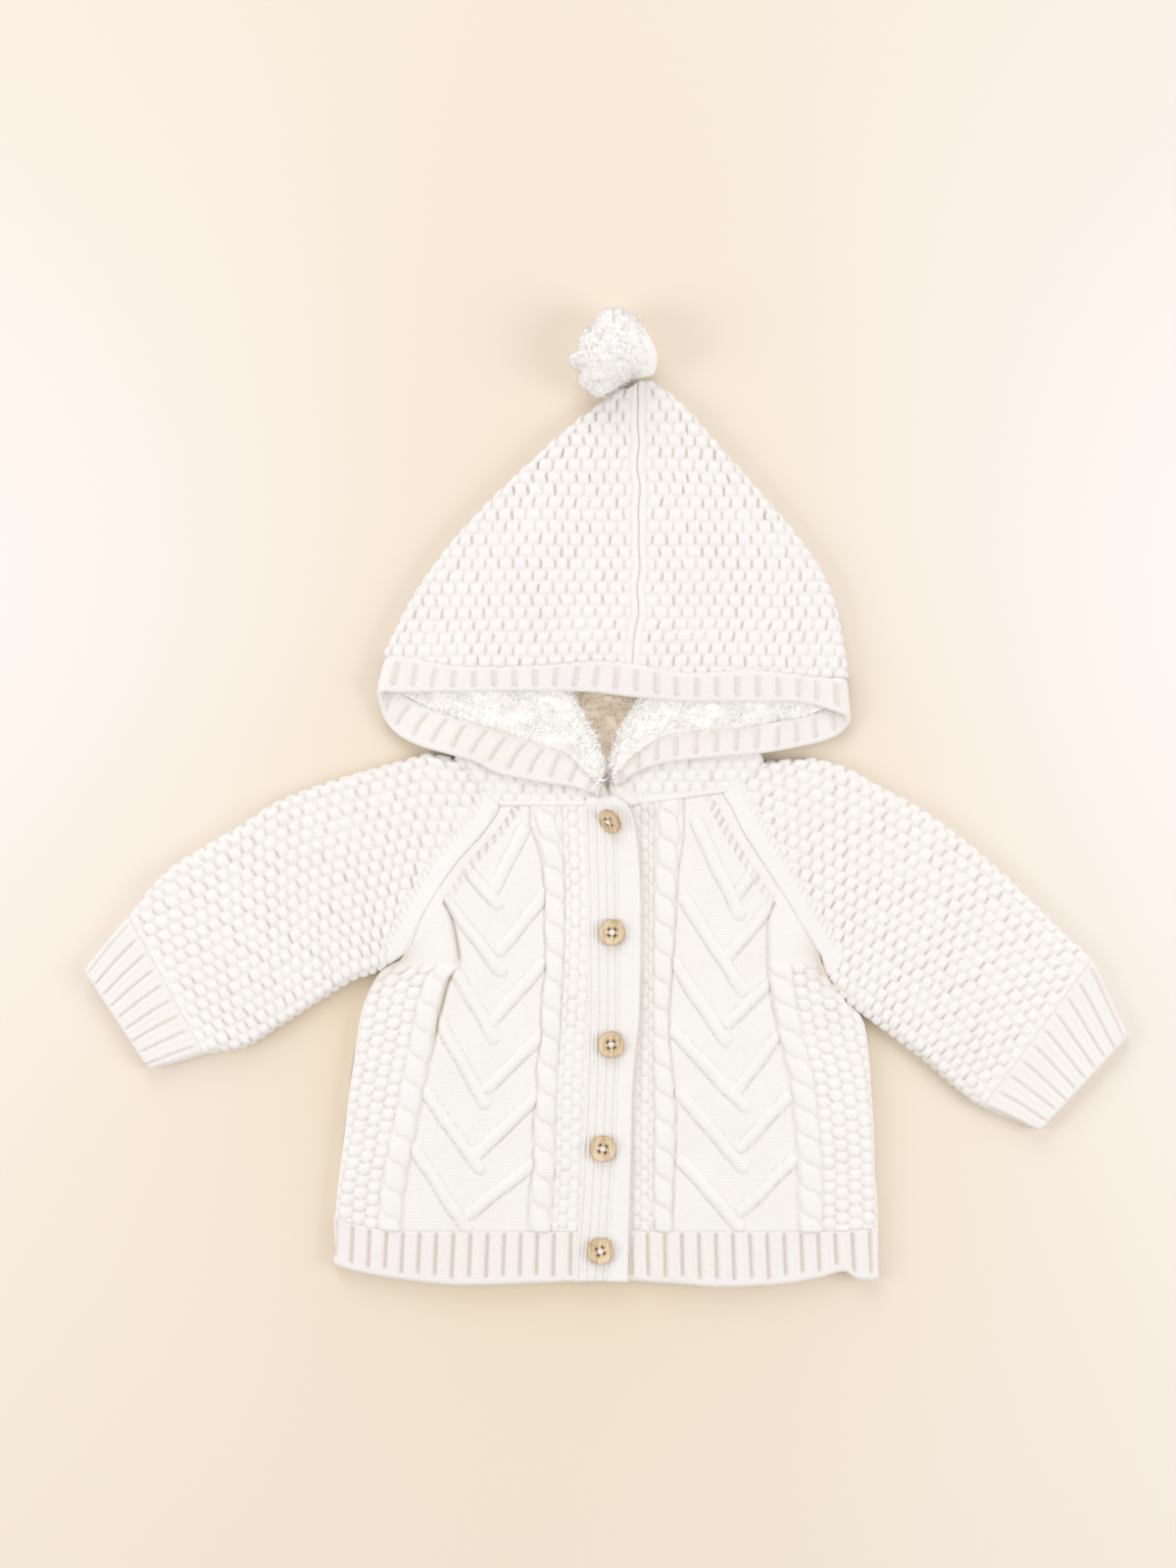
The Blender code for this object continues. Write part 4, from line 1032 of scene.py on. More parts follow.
def sleeve(wearer, rows, end, flip):
    """Makes a sleeve, from its cuff's seam to the raglan."""
    over, under = steps(SLEEVE_OVER, SLEEVE_STEP), steps(SLEEVE_UNDER, SLEEVE_UNDER_STEP)[1:-1]
    stations = np.arange(len(rows["height"]) + 1.0)
    spine = lengths_along(tube_points(rows, end, stations, np.array([0.5]), under)[0][:, 0, :2])
    first, full = spine[CUFF_ROWS], spine[-1]
    station = np.interp(mix(first, full, steps(full - first, SLEEVE_STEP)), spine, stations)
    points, _, half = tube_points(rows, end, station, over, under)
    along, around = along_and_across(points, len(over) // 2)
    x, y = points[..., 0], points[..., 1]
    # Round the upper fold the stitches run on from the tube's first column. They change over below.
    girth = around[:, -1:] - around[:, :1]
    lower_middle = len(over) + len(FOLD_TURN) + len(under) / 2
    changed = smooth((np.arange(x.shape[1]) - lower_middle) / 8)
    first_round, next_round = (pebbles(along, a, *SLEEVE_STITCH) for a in (around, around - girth))
    raglan = {name: end[name][1:] for name in ("x", "y")}
    far, down = path_distance(x, y, raglan)
    near_cuff = along - along[:1]
    pebbled = smooth((far - RAGLAN_STRIP) / 1.2 + 0.5) * (0.25 + 0.75 * smooth(near_cuff / 6))
    dash = (down + 0.7 * far) / STRIP_DASH
    dashes = ridge((dash - np.round(dash)) * STRIP_DASH, 0.7)
    # the dashes are sunk, with painted shade in them
    dashes = dashes * within(far, RAGLAN_STRIP - 4, RAGLAN_STRIP) * both(-0.6, 0.5)
    stitch = pebbled * mix(first_round, next_round, changed) + dashes
    stitch = stitch + edge_roll(path_distance(x, y, end)[0], 0.9)
    stitch = stitch + edge_roll(near_cuff, 0.4) * (points[..., 2] > half)
    rims = {"bottom": PLAIN_RIM, "top": PLAIN_RIM}
    name = f"sleeve_{wearer}_panel"
    piece = knit_mesh(name, points, stitch, (along, around), rims, BODY_KNIT, flip, ring=True)
    lay(piece, f"sleeve_{wearer}", "knit", flat_area(points))


def cuff(wearer, rows, end, flip):
    """Makes a sleeve's cuff, whose sunk columns run to its seam."""
    over, under = steps(CUFF_OVER, CUFF_STEP), steps(CUFF_UNDER, CUFF_UNDER_STEP)[1:-1]
    station = np.linspace(0, CUFF_ROWS, CUFF_STATIONS)
    points, share, half = tube_points(rows, end, station, over, under)
    along, around = along_and_across(points, len(over) // 2)
    place = np.where(points[..., 2] > half, share, -share) * CUFF_RIBS[wearer]
    place = place + 0.5 + 0.12 * np.sin(2.2 * along / along[-1:])
    near_end, near_seam = along - along[:1], along[-1:] - along
    slot_end = CUFF_EDGE + 1.6 * (chance(np.round(place), 3) - 0.5)
    stitch = ribs(place, CUFF_PITCH, CUFF_SLOT, CUFF_DEPTH) * both(1, 0.6)
    stitch = stitch * smooth((near_end - slot_end) / 2.5 + 0.5) * smooth(near_seam / 5)
    stitch = stitch + edge_roll(near_seam, 0.4) + edge_roll(near_end, 2.6) * both(1, 0.4)
    rims = {"bottom": CUFF_RIM, "top": PLAIN_RIM}
    name, weave = f"cuff_{wearer}_rib", (along, around)
    piece = knit_mesh(name, points, stitch, weave, rims, RIB_KNIT, flip, ring=True)
    area = flat_area(points) * CUFF_TURNED_IN
    lay(piece, f"cuff_{wearer}", "knit", area)


for arm in (
    ("right", SLEEVE_RIGHT, SLEEVE_END_RIGHT, False),
    ("left", SLEEVE_LEFT, SLEEVE_END_LEFT, True),
):
    sleeve(*arm)
    cuff(*arm)

# Hood ----------------------------------------------------------------------------------------
# Two mirrored panels of pebble stitch, whose columns run round the head. The centre seam joins
# them from the face opening to the tip, with a plain column at each side of it.
HOOD_HEIGHT, HOOD_RISE = 11.4, 46  # at its outline, and how far in it has its full height
HOOD_MIDDLE = 14.5
HOOD_STITCH = (7.7, 6.75)
HOOD_OVER, HOOD_UNDER, HOOD_UP, HOOD_STEP, HOOD_UNDER_STEP = 122, 118, 150, 0.9, 2.0
HOOD_FOLD = np.linspace(0, math.pi, 17)[1:-1]
TIP_SEAM, TIPS = 229.0, {"right": 225.0, "left": 229.2}  # each half's top at the seam and outside
SEAM_WAVER = 0.7  # how far the centre seam strays to either side
SEAM_COLUMN = 3.6  # the plain column beside the centre seam
HOOD_RIMS = {side: PLAIN_RIM for side in ("bottom", "top", "left", "right")}
HOOD = table(
    "y left right seam",
    (8, -100, 104, 14),
    (20, -100, 104, 14),
    (28, -103, 109, 14),
    (35, -110, 118, 14),
    (45, -118, 127, 14),
    (60, -121, 131, 14),
    (66, -121.6, 133.2, 14),
    (79, -122, 132, 14.5),
    (90, -117.5, 130, 16),
    (110, -107, 125.5, 17.5),
    (130, -94, 116, 18),
    (150, -77.5, 101, 18),
    (170, -58, 84, 18),
    (190, -37, 66, 17.5),
    (205, -20, 53, 17.5),
    (218, -3, 41, 17.5),
    (230, 11, 26, 17.5),
)
HOOD_TOP = table("y top", (60, 19.2), (80, 18.6), (110, 16.4), (150, 14), (190, 12.4), (230, 11.4))
UPPER_LIP = table(
    "sx sy fx fy droop",
    (-109, 76.4, -113, 58, 0.2),
    (-95, 73.4, -99, 58, 0.3),
    (-77, 70.7, -78, 58.4, 0.5),
    (-43, 71.5, -43, 58.8, 0.7),
    (-4.6, 74, -8, 58, 0.8),
    (17.6, 72, 17.6, 55.2, 0.8),
    (43.5, 67.4, 43.5, 52.8, 0.8),
    (78, 68.6, 78, 52.6, 0.6),
    (100, 67.4, 100, 53, 0.4),
    (114, 65.8, 114, 51, 0.2),
)
# Lower edge of the hood's back layer, by the share of the way from the centre seam outwards.
BACK_EDGE_RIGHT = table(
    "share y", (0, 8.7), (0.72, 8.7), (0.82, 25.6), (0.94, 29.4), (0.97, 36), (0.99, 48), (1, 78.2)
)
BACK_EDGE_LEFT = table(
    "share y", (0, 8.7), (0.62, 8.7), (0.82, 25.6), (0.94, 30), (0.97, 37), (0.99, 48), (1, 66.6)
)


def hood_top(x, y):
    """Height of the hood's upper layer: low at its outline, highest over the mouth."""
    edge = np.minimum(x - look(HOOD, "y", y, "left"), look(HOOD, "y", y, "right") - x)
    return mix(HOOD_HEIGHT, look(HOOD_TOP, "y", y, "top"), smooth((edge - HOOD_HEIGHT / 2) / HOOD_RISE))


def hood_points(side, back_edge, tip):
    """One half, from the centre seam over the top, round the outline and back underneath.

    Also says which of its columns are on top.
    """
    sign = -1 if side == "left" else 1
    half = HOOD_HEIGHT / 2
    reach = look(HOOD, "y", back_edge["y"][-1], side) - sign * half - HOOD_MIDDLE
    over, under = steps(HOOD_OVER, HOOD_STEP), steps(HOOD_UNDER, HOOD_UNDER_STEP)[::-1]
    under = np.concatenate([under[:1], 1 - np.array([0.005, 0.01, 0.015]), under[1:]])
    rows = steps(HOOD_UP, HOOD_STEP)[:, None]
    lip = look(UPPER_LIP, "sx", HOOD_MIDDLE + over * reach, "sy") + 2 * SEAM
    share = np.concatenate([over, 1 + 0 * HOOD_FOLD, under])
    low = look(back_edge, "share", share, "y")
    low[: len(over)] = lip
    y = mix(low, mix(TIP_SEAM, tip, share), rows)
    outline = look(HOOD, "y", y, side)
    seam = look(HOOD, "y", y, "seam") + sign * SEAM / 2 + SEAM_WAVER * np.sin(y / 4.3) * np.sin(y / 23)
    x = mix(seam, outline - sign * half, share)
    z = np.zeros(x.shape)
    z[:, : len(over)] = hood_top(x, y)[:, : len(over)]
    turn = slice(len(over), len(over) + len(HOOD_FOLD))
    x[:, turn] = outline[:, turn] - sign * (half - half * np.sin(HOOD_FOLD))
    z[:, turn] = half + half * np.cos(HOOD_FOLD)
    return np.stack([x, y, z], -1), np.arange(x.shape[1]) < len(over)


def widths(points):
    """How far each point of a grid lies along its row, from the row's first point."""
    pieces = np.linalg.norm(np.diff(points, axis=1), axis=-1)
    return np.concatenate([np.zeros((len(points), 1)), np.cumsum(pieces, 1)], 1)


for wearer, back_edge in (("right", BACK_EDGE_RIGHT), ("left", BACK_EDGE_LEFT)):
    points, is_top = hood_points(SIDES[wearer], back_edge, TIPS[wearer])
    x, y, around = points[..., 0], points[..., 1], widths(points)
    pebbled = pebbles(around + 0.5 * uneven(x, y, 60, 3), y + 0.8 * uneven(x, y, 80, 5), *HOOD_STITCH)
    stitch = smooth((around - SEAM_COLUMN) / 1.2) * pebbled + edge_roll(around, 1.2)
    # the plain column's edge is sunk a little, with painted shade in it
    seam_column = ridge(around - SEAM_COLUMN, 0.7) * both(-0.4, 0.2)
    swell = 0.6 * uneven(x, y, 75, 6) * both(1, 0)
    stitch = stitch + (seam_column + edge_roll(y - y[:1], 1.1) + swell) * is_top
    name, flip = f"hood_{wearer}_panel", wearer == "right"
    piece = knit_mesh(name, points, stitch, (around, y), HOOD_RIMS, BODY_KNIT, flip)
    lay(piece, f"hood_{wearer}", "knit", flat_area(points))

# Neck of the hood ----------------------------------------------------------------------------
# The hood's fronts stand up from the neckline for a short way before their lips are turned back
# over them. They are the hood's own pebble stitch, picked up along a thin seam.
NECK_RIGHT = table(
    "y outer inner",
    (-4, -59.5, 1.2),
    (3, -65, 1.0),
    (8.5, -71.4, -0.7),
    (21.5, -83, -2.4),
    (34, -79, -8),
    (46, -72, -13.6),
)
NECK_LEFT = table(
    "y outer inner",
    (-4, 66.5, 1.6),
    (2.4, 68, 1.4),
    (10, 77.6, 2.6),
    (20, 86.6, 3.8),
    (32, 79, 7.6),
    (44, 72, 12.6),
)
NECK_ACROSS, NECK_UP, NECK_STEP = 66, 50, 0.95
NECK_LOW = -4  # about where the stands' feet are, to start from
STAND_FOLD = {"x": (2.2, 14.7), "y": (7.5, -3.2)}  # the left stand is folded over along this line
NECKLINES = {  # each stand's foot, along its front's upper edge
    "right": lambda x: np.full(x.shape, -4.2),
    "left": lambda x: look(NECKLINE_LEFT, "x", x, "y") + 0.15,
}
for wearer, rows in (("right", NECK_RIGHT), ("left", NECK_LEFT)):
    across, up = steps(NECK_ACROSS, NECK_STEP), steps(NECK_UP, NECK_STEP)[:, None]
    y = mix(NECK_LOW, rows["y"][-1], up) + 0 * across
    for _ in range(3):
        x = mix(look(rows, "y", y, "inner"), look(rows, "y", y, "outer"), across)
        y = mix(NECKLINES[wearer](x), rows["y"][-1], up)
    picked_up = y - y[:1]
    z = np.full(x.shape, BODY_HEIGHT)
    plain = smooth((picked_up - 2.2) / 1.5)
    fold = np.zeros((2, *x.shape))
    if wearer == "left":
        sunk = PLACKET_DIP * (1 - smooth((x - BAND["right"][-2]) / DIP_WIDTH))
        z = z - sunk * (1 - smooth(picked_up / 12))
        folded = path_distance(x, y, STAND_FOLD)[0]
        plain = plain * smooth((folded - 4) / 3)
        # a ridge along the fold, with painted shade beside it
        fold = np.array([1.5 * ridge(folded, 2.6), 0.4 * ridge(folded - 3.4, 0.9)])
    points = np.stack([x, y, z], -1)
    around = widths(points)
    stitch = 0.75 * plain * pebbles(x, y + 1.5, *HOOD_STITCH) + edge_roll(picked_up, 0.6)
    stitch = stitch + edge_roll(around, 1.2) + edge_roll(around[:, -1:] - around, 2.2) + fold
    name, flip = f"hood_neck_{wearer}_panel", wearer == "right"
    piece = knit_mesh(name, points, stitch, (x, y), HOOD_RIMS, BODY_KNIT, flip)
    lay(piece, f"hood_neck_{wearer}", "knit", flat_area(points))

# Fleece lining -------------------------------------------------------------------------------
# Sherpa fleece lines the hood. Turned back with the hood's fronts it fills the mouth with two
# plump lapels, and deeper in the gap between them lies the lining of the back.
LIE = 0.3  # gap between layers that lie on each other
FLEECE = 5.0  # its thickness
FLEECE_SEAM_RIGHT = table(
    "share x y",
    (0, -2.8, 8.6),
    (0.07, -10.2, 13.4),
    (0.11, -13.8, 18.2),
    (0.17, -21.6, 25.2),
    (0.27, -33, 29.4),
    (0.39, -47, 34.3),
    (0.51, -60, 38.4),
    (0.64, -75, 42.4),
    (0.8, -91, 47.4),
    (0.9, -102, 51.8),
    (0.97, -110, 56.2),
    (1, -114.5, 59.2),
)
FLEECE_SEAM_LEFT = table(
    "share x y",
    (0, 3, 11.6),
    (0.04, 7, 16),
    (0.13, 17.7, 26.4),
    (0.3, 35, 35.6),
    (0.52, 61.2, 38.6),
    (0.68, 80, 40.2),
    (0.82, 96, 42.8),
    (0.92, 107.2, 44.8),
    (0.97, 115, 47.2),
    (1, 122.5, 50.2),
)
GAP_EDGE_RIGHT = table(
    "share x y",
    (0, -2.8, 8.6),
    (0.15, -1.2, 19),
    (0.34, -6.2, 32),
    (0.46, -10, 40.2),
    (0.7, -18.8, 56),
    (1, -31, 80),
)
GAP_EDGE_LEFT = table(
    "share x y",
    (0, 3, 11.6),
    (0.13, 2.4, 19.5),
    (0.34, 7, 33),
    (0.46, 10, 40.2),
    (0.7, 19.6, 55),
    (1, 33, 77),
)
FLEECE_FAR = {"right": (-113.5, 74.5), "left": (123, 62.5)}  # the lapels' outer upper corners
FLEECE_WIDTH, FLEECE_EDGE = 105, 7  # a lapel's width, and that of its rounded edge at the gap
FLEECE_THIN, MOUTH_AIR = 1.2, 1  # its least thickness, and the air between it and the hood
LAPEL_ACROSS, LAPEL_UP, LAPEL_STEP = 112, 66, 1.3
SINK = {"right": (99, 122), "left": (80, 102)}  # between these a lapel sinks down to the back layer
MOUTH_TOP, MOUTH_BACK, MOUTH_LEFT, MOUTH_RIGHT = 82, 5.7, -62, 70  # the deep lining's edges and height
MOUTH_LOW, SLIT_DROP, SLIT_AT, SLIT_WIDTH = 13, 9, 1, 9  # it reaches lower at the lapels' slit
MOUTH_ACROSS, MOUTH_UP, MOUTH_STEP = 132, 69, 1.4
INSIDE_INSET, INSIDE_TOP = 11, 208  # the inner lining's distance from the outline, and its top
INSIDE_ACROSS, INSIDE_UP, INSIDE_STEP = 160, 126, 3.0
# the fleece's own pale, the colour of painted shade between its clumps and at its fibres' roots, and its
# glow, which is painted light
FLEECE_PALE, FLEECE_PAINTED_SHADE, FLEECE_GLOW = (0.97, 0.957, 0.935), (0.91, 0.86, 0.78), 0.175
# the back lining's fleece is painted darker and warmer than the lapels', as painted shade deep in the gap,
# with a weaker glow
DEEP_PALE, DEEP_SHADE, DEEP_GLOW = (0.93, 0.82, 0.67), (0.7, 0.58, 0.44), 0.09
PILE_COUNT, PILE_LENGTH, PILE_WIDTH, PILE_CURL = 3200, 2.7, 0.42, 0.85
DEEP_COUNT, DEEP_LENGTH, DEEP_WIDTH, DEEP_CURL = 3000, 3.0, 0.5, 0.8
TUFT_SIZE = 4.4  # from one tuft of the pile to the next
PILE_HIDDEN = 9  # how far in under the upper lip loose fibres still show
FRINGE_COUNT, FRINGE_LONGER, FRINGE_HEIGHT = 260, 1.35, 12.5  # the gap's ragged edges
STRAND_SIDES, STRAND_RINGS = 3, 3


def fleece_finish(name, pale, shade, glow):
    """Sherpa: matt soft pile, pale at its tips, and darker between its clumps with painted shade.

    A faint glow of its own stands for the light that wanders about inside the pile.
    """
    constants = {"Roughness": 1.0, "Sheen Weight": 0.5, "Sheen Roughness": 0.8, "Specular IOR Level": 0.1}
    constants |= {"Emission Color": (*pale, 1), "Emission Strength": glow}
    made, start, shader = new_material(name, constants)
    curls = start.noise(260.0, 3.0)
    tone = start.measured("depth") * 0.9 + curls * 0.3 - 0.18
    feed(shader, "Base Color", tone.mixed(pale, shade))
    relief(shader, curls, 0.35, 0.0008)
    return made


def clumps(x, y, size, seed):
    """Height, from 0 to 1, of round clumps that lie about that far apart, at odd places."""
    best = np.full(x.shape, 9.0)
    column, row = np.floor(x / size), np.floor(y / size)
    for i in (-1, 0, 1):
        for j in (-1, 0, 1):
            cell = column + i, row + j
            spot_x = (cell[0] + chance(*cell, seed)) * size
            spot_y = (cell[1] + chance(*cell, seed + 7)) * size
            best = np.minimum(best, np.hypot(x - spot_x, y - spot_y) / size)
    return 1 - smooth(best / 0.95)


def lapel_points(wearer, seam, gap_edge):
    """The turned-back lining, from the gap in the middle out to the mouth's corner."""
    share, row = steps(LAPEL_ACROSS, LAPEL_STEP) ** 1.15, steps(LAPEL_UP, LAPEL_STEP)[:, None]
    place = []
    for name, far_top in zip(("x", "y"), FLEECE_FAR[wearer]):
        near_low, near_top, far_low = gap_edge[name][0], gap_edge[name][-1], seam[name][-1]
        sides = mix(look(seam, "share", share, name), mix(near_top, far_top, share), row)
        sides = sides + mix(look(gap_edge, "share", row, name), mix(far_low, far_top, row), share)
        place.append(sides - mix(mix(near_low, far_low, share), mix(near_top, far_top, share), row))
    x, y = place
    sink_from, sink_to = SINK[wearer]
    out = smooth((np.abs(x - HOOD_MIDDLE) - sink_from) / (sink_to - sink_from))
    bottom = mix(BODY_HEIGHT + LIE, KNIT + 2 * LIE, out)
    inwards = np.minimum(1, share * FLEECE_WIDTH / FLEECE_EDGE)
    plump = np.sqrt(np.maximum(0.05, 1 - (1 - inwards) ** 2))
    top = np.minimum(bottom + FLEECE, hood_top(x, y) - KNIT - LIE - MOUTH_AIR)
    return np.stack([x, y, mix(bottom, np.maximum(top, bottom + FLEECE_THIN), plump)], -1)


def scatter(points, count, seed):
    """Places spread evenly over a grid of points, and the grid's direction at each of them."""
    one, other = points[1:, 1:] - points[:-1, :-1], points[1:, :-1] - points[:-1, 1:]
    facing = np.cross(one, other).reshape(-1, 3)
    filled = np.cumsum(np.linalg.norm(facing, axis=-1))
    numbers = np.arange(count)
    cell = np.searchsorted(filled, chance(numbers, seed) * filled[-1])
    row, column = np.unravel_index(np.minimum(cell, len(filled) - 1), one.shape[:2])
    u, v = chance(numbers, seed, 3)[:, None], chance(numbers, seed, 5)[:, None]
    low = mix(points[row, column], points[row, column + 1], u)
    high = mix(points[row + 1, column], points[row + 1, column + 1], u)
    up = unit(facing[np.ravel_multi_index((row, column), one.shape[:2])])
    return mix(low, high, v), up * np.sign(up[:, 2:] + 1e-9)


def strand_shape():
    """A tapered tube with a pointed tip: which way and how high each point lies, and its faces."""
    bm = bmesh.new()
    bmesh.ops.create_cone(bm, cap_ends=False, segments=STRAND_SIDES, radius1=1, radius2=0, depth=1)
    long = [edge for edge in bm.edges if abs(edge.verts[0].co.z - edge.verts[1].co.z) > 0.5]
    bmesh.ops.subdivide_edges(bm, edges=long, cuts=STRAND_RINGS - 1, use_grid_fill=True)
    spots = np.array([vert.co[:] for vert in bm.verts])
    faces = [[vert.index for vert in face.verts] for face in bm.faces]
    bm.free()
    return np.arctan2(spots[:, 1], spots[:, 0]), spots[:, 2] + 0.5, faces


def strands(name, roots, ways, length, width, curl, material, seed):
    """Many loose fibres joined in one mesh, each a tapered tube that bends as it leaves its root."""
    numbers = np.arange(len(roots))
    turn = 2 * math.pi * chance(numbers, seed, 1)[:, None]
    ways = unit(ways)
    side = unit(np.cross(ways, [0.31, 0.27, 0.91]))
    bend = side * np.cos(turn) + np.cross(ways, side) * np.sin(turn)
    ways, bend, side = ways[:, None], bend[:, None], np.cross(ways, bend)[:, None]
    angle, high, faces = strand_shape()
    long = (length * (0.55 + 0.9 * chance(numbers, seed, 2)))[:, None, None]
    t = high[None, :, None]
    path = ways * t + bend * curl * t**2 + side * curl * 0.6 * np.sin(4 * t)
    ring = bend * np.cos(angle)[None, :, None] + side * np.sin(angle)[None, :, None]
    spots = roots[:, None] + long * path + width * (1 - t**3) * ring
    spots[..., 2] = np.maximum(spots[..., 2], 0)
    joined = [[vert + int(n) * len(angle) for vert in face] for n in numbers for face in faces]
    mesh = bpy.data.meshes.new(name)
    mesh.from_pydata((spots.reshape(-1, 3) * MM).tolist(), [], joined)
    # painted shade towards each fibre's root
    depth = mesh.attributes.new("depth", "FLOAT", "POINT")
    depth.data.foreach_set("value", np.tile(0.35 * (1 - high) ** 1.5, len(numbers)))
    mesh.shade_smooth()
    return add_object(name, mesh, material)


def pile(x, y, seed):
    """Height and painted shade of the fleece's backing, in clumps."""
    big, fine = clumps(x, y, 5.2, seed), clumps(x, y, 2.4, seed + 3)
    height = 0.45 * big + 0.2 * fine + 0.6 * uneven(x, y, 26, seed)
    return np.array([height - 0.6, np.clip(0.35 - 0.25 * big - 0.2 * fine, 0, 1)])


def stray(numbers, seed):
    """A small odd direction for each number."""
    return np.stack([chance(numbers, i, seed) - 0.5 for i in (1, 2, 3)], -1)


def tufted(roots, ways):
    """Ways for fibres that splay out from the middles of tufts."""
    cell = np.floor(roots / TUFT_SIZE)
    odd = np.stack([chance(cell[:, 0] + 31 * cell[:, 2], cell[:, 1], seed) for seed in (6, 7, 8)], -1)
    out = (roots - (cell + 0.3 + 0.4 * odd) * TUFT_SIZE) / TUFT_SIZE
    return unit(ways * 0.5 + out * 1.5 + stray(np.arange(len(roots)), 9) * 0.7)


def below_lip(roots):
    """Which fibres aren't hidden deep under the hood's upper lip."""
    return roots[:, 1] < look(UPPER_LIP, "fx", roots[:, 0], "fy") + PILE_HIDDEN


def fringe(gap_edge, outwards):
    """Roots and ways of the longer tufts that stand out ragged along the gap."""
    numbers = np.arange(FRINGE_COUNT)
    at = np.sort(chance(numbers, 17))
    height = FRINGE_HEIGHT + 1.5 * (chance(numbers, 19) - 0.5)
    edge = np.stack([look(gap_edge, "share", at, "x"), look(gap_edge, "share", at, "y"), height], -1)
    out = [outwards + 0 * at, chance(numbers, 23) - 0.7, chance(numbers, 29) - 0.4]
    out = np.stack(out, -1)
    drawn_back = 3.6 - 2.6 * chance(np.floor(at * 30), 31)
    return edge - out * np.stack([drawn_back, 0 * at, 0 * at], -1), unit(out)


FLEECE_SOFT = fleece_finish("fleece", FLEECE_PALE, FLEECE_PAINTED_SHADE, FLEECE_GLOW)
# the back lining deep in the gap is a darker copy of the lapels' fleece: painted shade
FLEECE_IN_PAINTED_SHADE = fleece_finish("fleece_in_painted_shade", DEEP_PALE, DEEP_SHADE, DEEP_GLOW)
for wearer, seam, gap_edge in (
    ("right", FLEECE_SEAM_RIGHT, GAP_EDGE_RIGHT),
    ("left", FLEECE_SEAM_LEFT, GAP_EDGE_LEFT),
):
    points = lapel_points(wearer, seam, gap_edge)
    x, y, around = points[..., 0], points[..., 1], widths(points)
    up = np.linalg.norm(points - points[:1], axis=-1)
    stitch = pile(x, y, 4) * smooth(around / 3 + 0.2) + edge_roll(up, 1.6)
    # painted shade along the lapel's edge at the gap
    stitch[1] = stitch[1] + 0.6 * np.exp(-around / 2.5)
    rims = {"bottom": PLAIN_RIM, "top": PLAIN_RIM, "left": ((0.2, 1.2), (0.6, 3.0)), "right": PLAIN_RIM}
    name, flip = f"lining_{wearer}_fleece", wearer == "right"
    lining = knit_mesh(name, points, stitch, (y, x), rims, FLEECE_SOFT, flip)
    roots, ways = scatter(points, PILE_COUNT, 11)
    shows = below_lip(roots)
    roots, ways = roots[shows], tufted(roots[shows], ways[shows])
    fringe_roots, fringe_ways = fringe(gap_edge, 1 if wearer == "right" else -1)
    longer = np.concatenate([np.ones(len(roots)), np.full(FRINGE_COUNT, FRINGE_LONGER)])
    roots, ways = np.concatenate([roots, fringe_roots]), np.concatenate([ways, fringe_ways])
    name, width = f"lining_{wearer}_fibres", (PILE_WIDTH * longer)[:, None, None]
    length = PILE_LENGTH * longer
    fibres = strands(name, roots - ways * 0.5, ways, length, width, PILE_CURL, FLEECE_SOFT, 21)
    attach(fibres, "fleece")
    area = flat_area(points)
    lay(lining, f"lining_{wearer}", "fleece", area)

across, up = steps(MOUTH_ACROSS, MOUTH_STEP), steps(MOUTH_UP, MOUTH_STEP)[:, None]
x = mix(MOUTH_LEFT, MOUTH_RIGHT, across) + 0 * up
y = mix(MOUTH_LOW - SLIT_DROP * ridge(x - SLIT_AT, SLIT_WIDTH), MOUTH_TOP, up)
points = np.stack([x, y, np.full(x.shape, MOUTH_BACK)], -1)
deep = knit_mesh("lining_back_fleece", points, pile(x, y, 6), (y, x), PLAIN_RIMS, FLEECE_IN_PAINTED_SHADE)
roots, ways = scatter(points, DEEP_COUNT, 13)
shows = (np.abs(roots[:, 0]) < 5 + 0.55 * roots[:, 1]) & below_lip(roots)
roots, ways = roots[shows], ways[shows]
ways = unit(ways + stray(np.arange(len(roots)), 8) * 1.6)
name, shape = "lining_back_fibres", (DEEP_LENGTH, DEEP_WIDTH, DEEP_CURL)
fibres = strands(name, roots, ways, *shape, FLEECE_IN_PAINTED_SHADE, 23)
attach(fibres, "fleece")
lay(deep, "lining_back", "fleece", flat_area(points))

# Further in, both layers of the lining lie on each other and fill the hood.
y = mix(MOUTH_TOP + SEAM, INSIDE_TOP, steps(INSIDE_UP, INSIDE_STEP)[:, None])
left, right = look(HOOD, "y", y, "left") + INSIDE_INSET, look(HOOD, "y", y, "right") - INSIDE_INSET
over = steps(INSIDE_ACROSS, INSIDE_STEP)
x = np.concatenate([mix(left, right, over), mix(left, right, over[::-1]), left], 1)
y = y + 0 * x
top, bottom = hood_top(x, y) - KNIT - 3 * LIE, np.full(x.shape, KNIT + LIE)
is_top = np.arange(x.shape[1]) < len(over)
is_top[-1] = True
points = np.stack([x, y, np.where(is_top, top, bottom)], -1)
flat = np.zeros((2, *x.shape))
rims = {"bottom": ((0.5, 0.5), (2.0, 2.5)), "top": ((0.5, 0.5), (2.0, 2.5))}
inside = knit_mesh("lining_inside_fleece", points, flat, (y, x), rims, FLEECE_SOFT, ring=True)
lay(inside, "lining_inside", "fleece", flat_area(points))

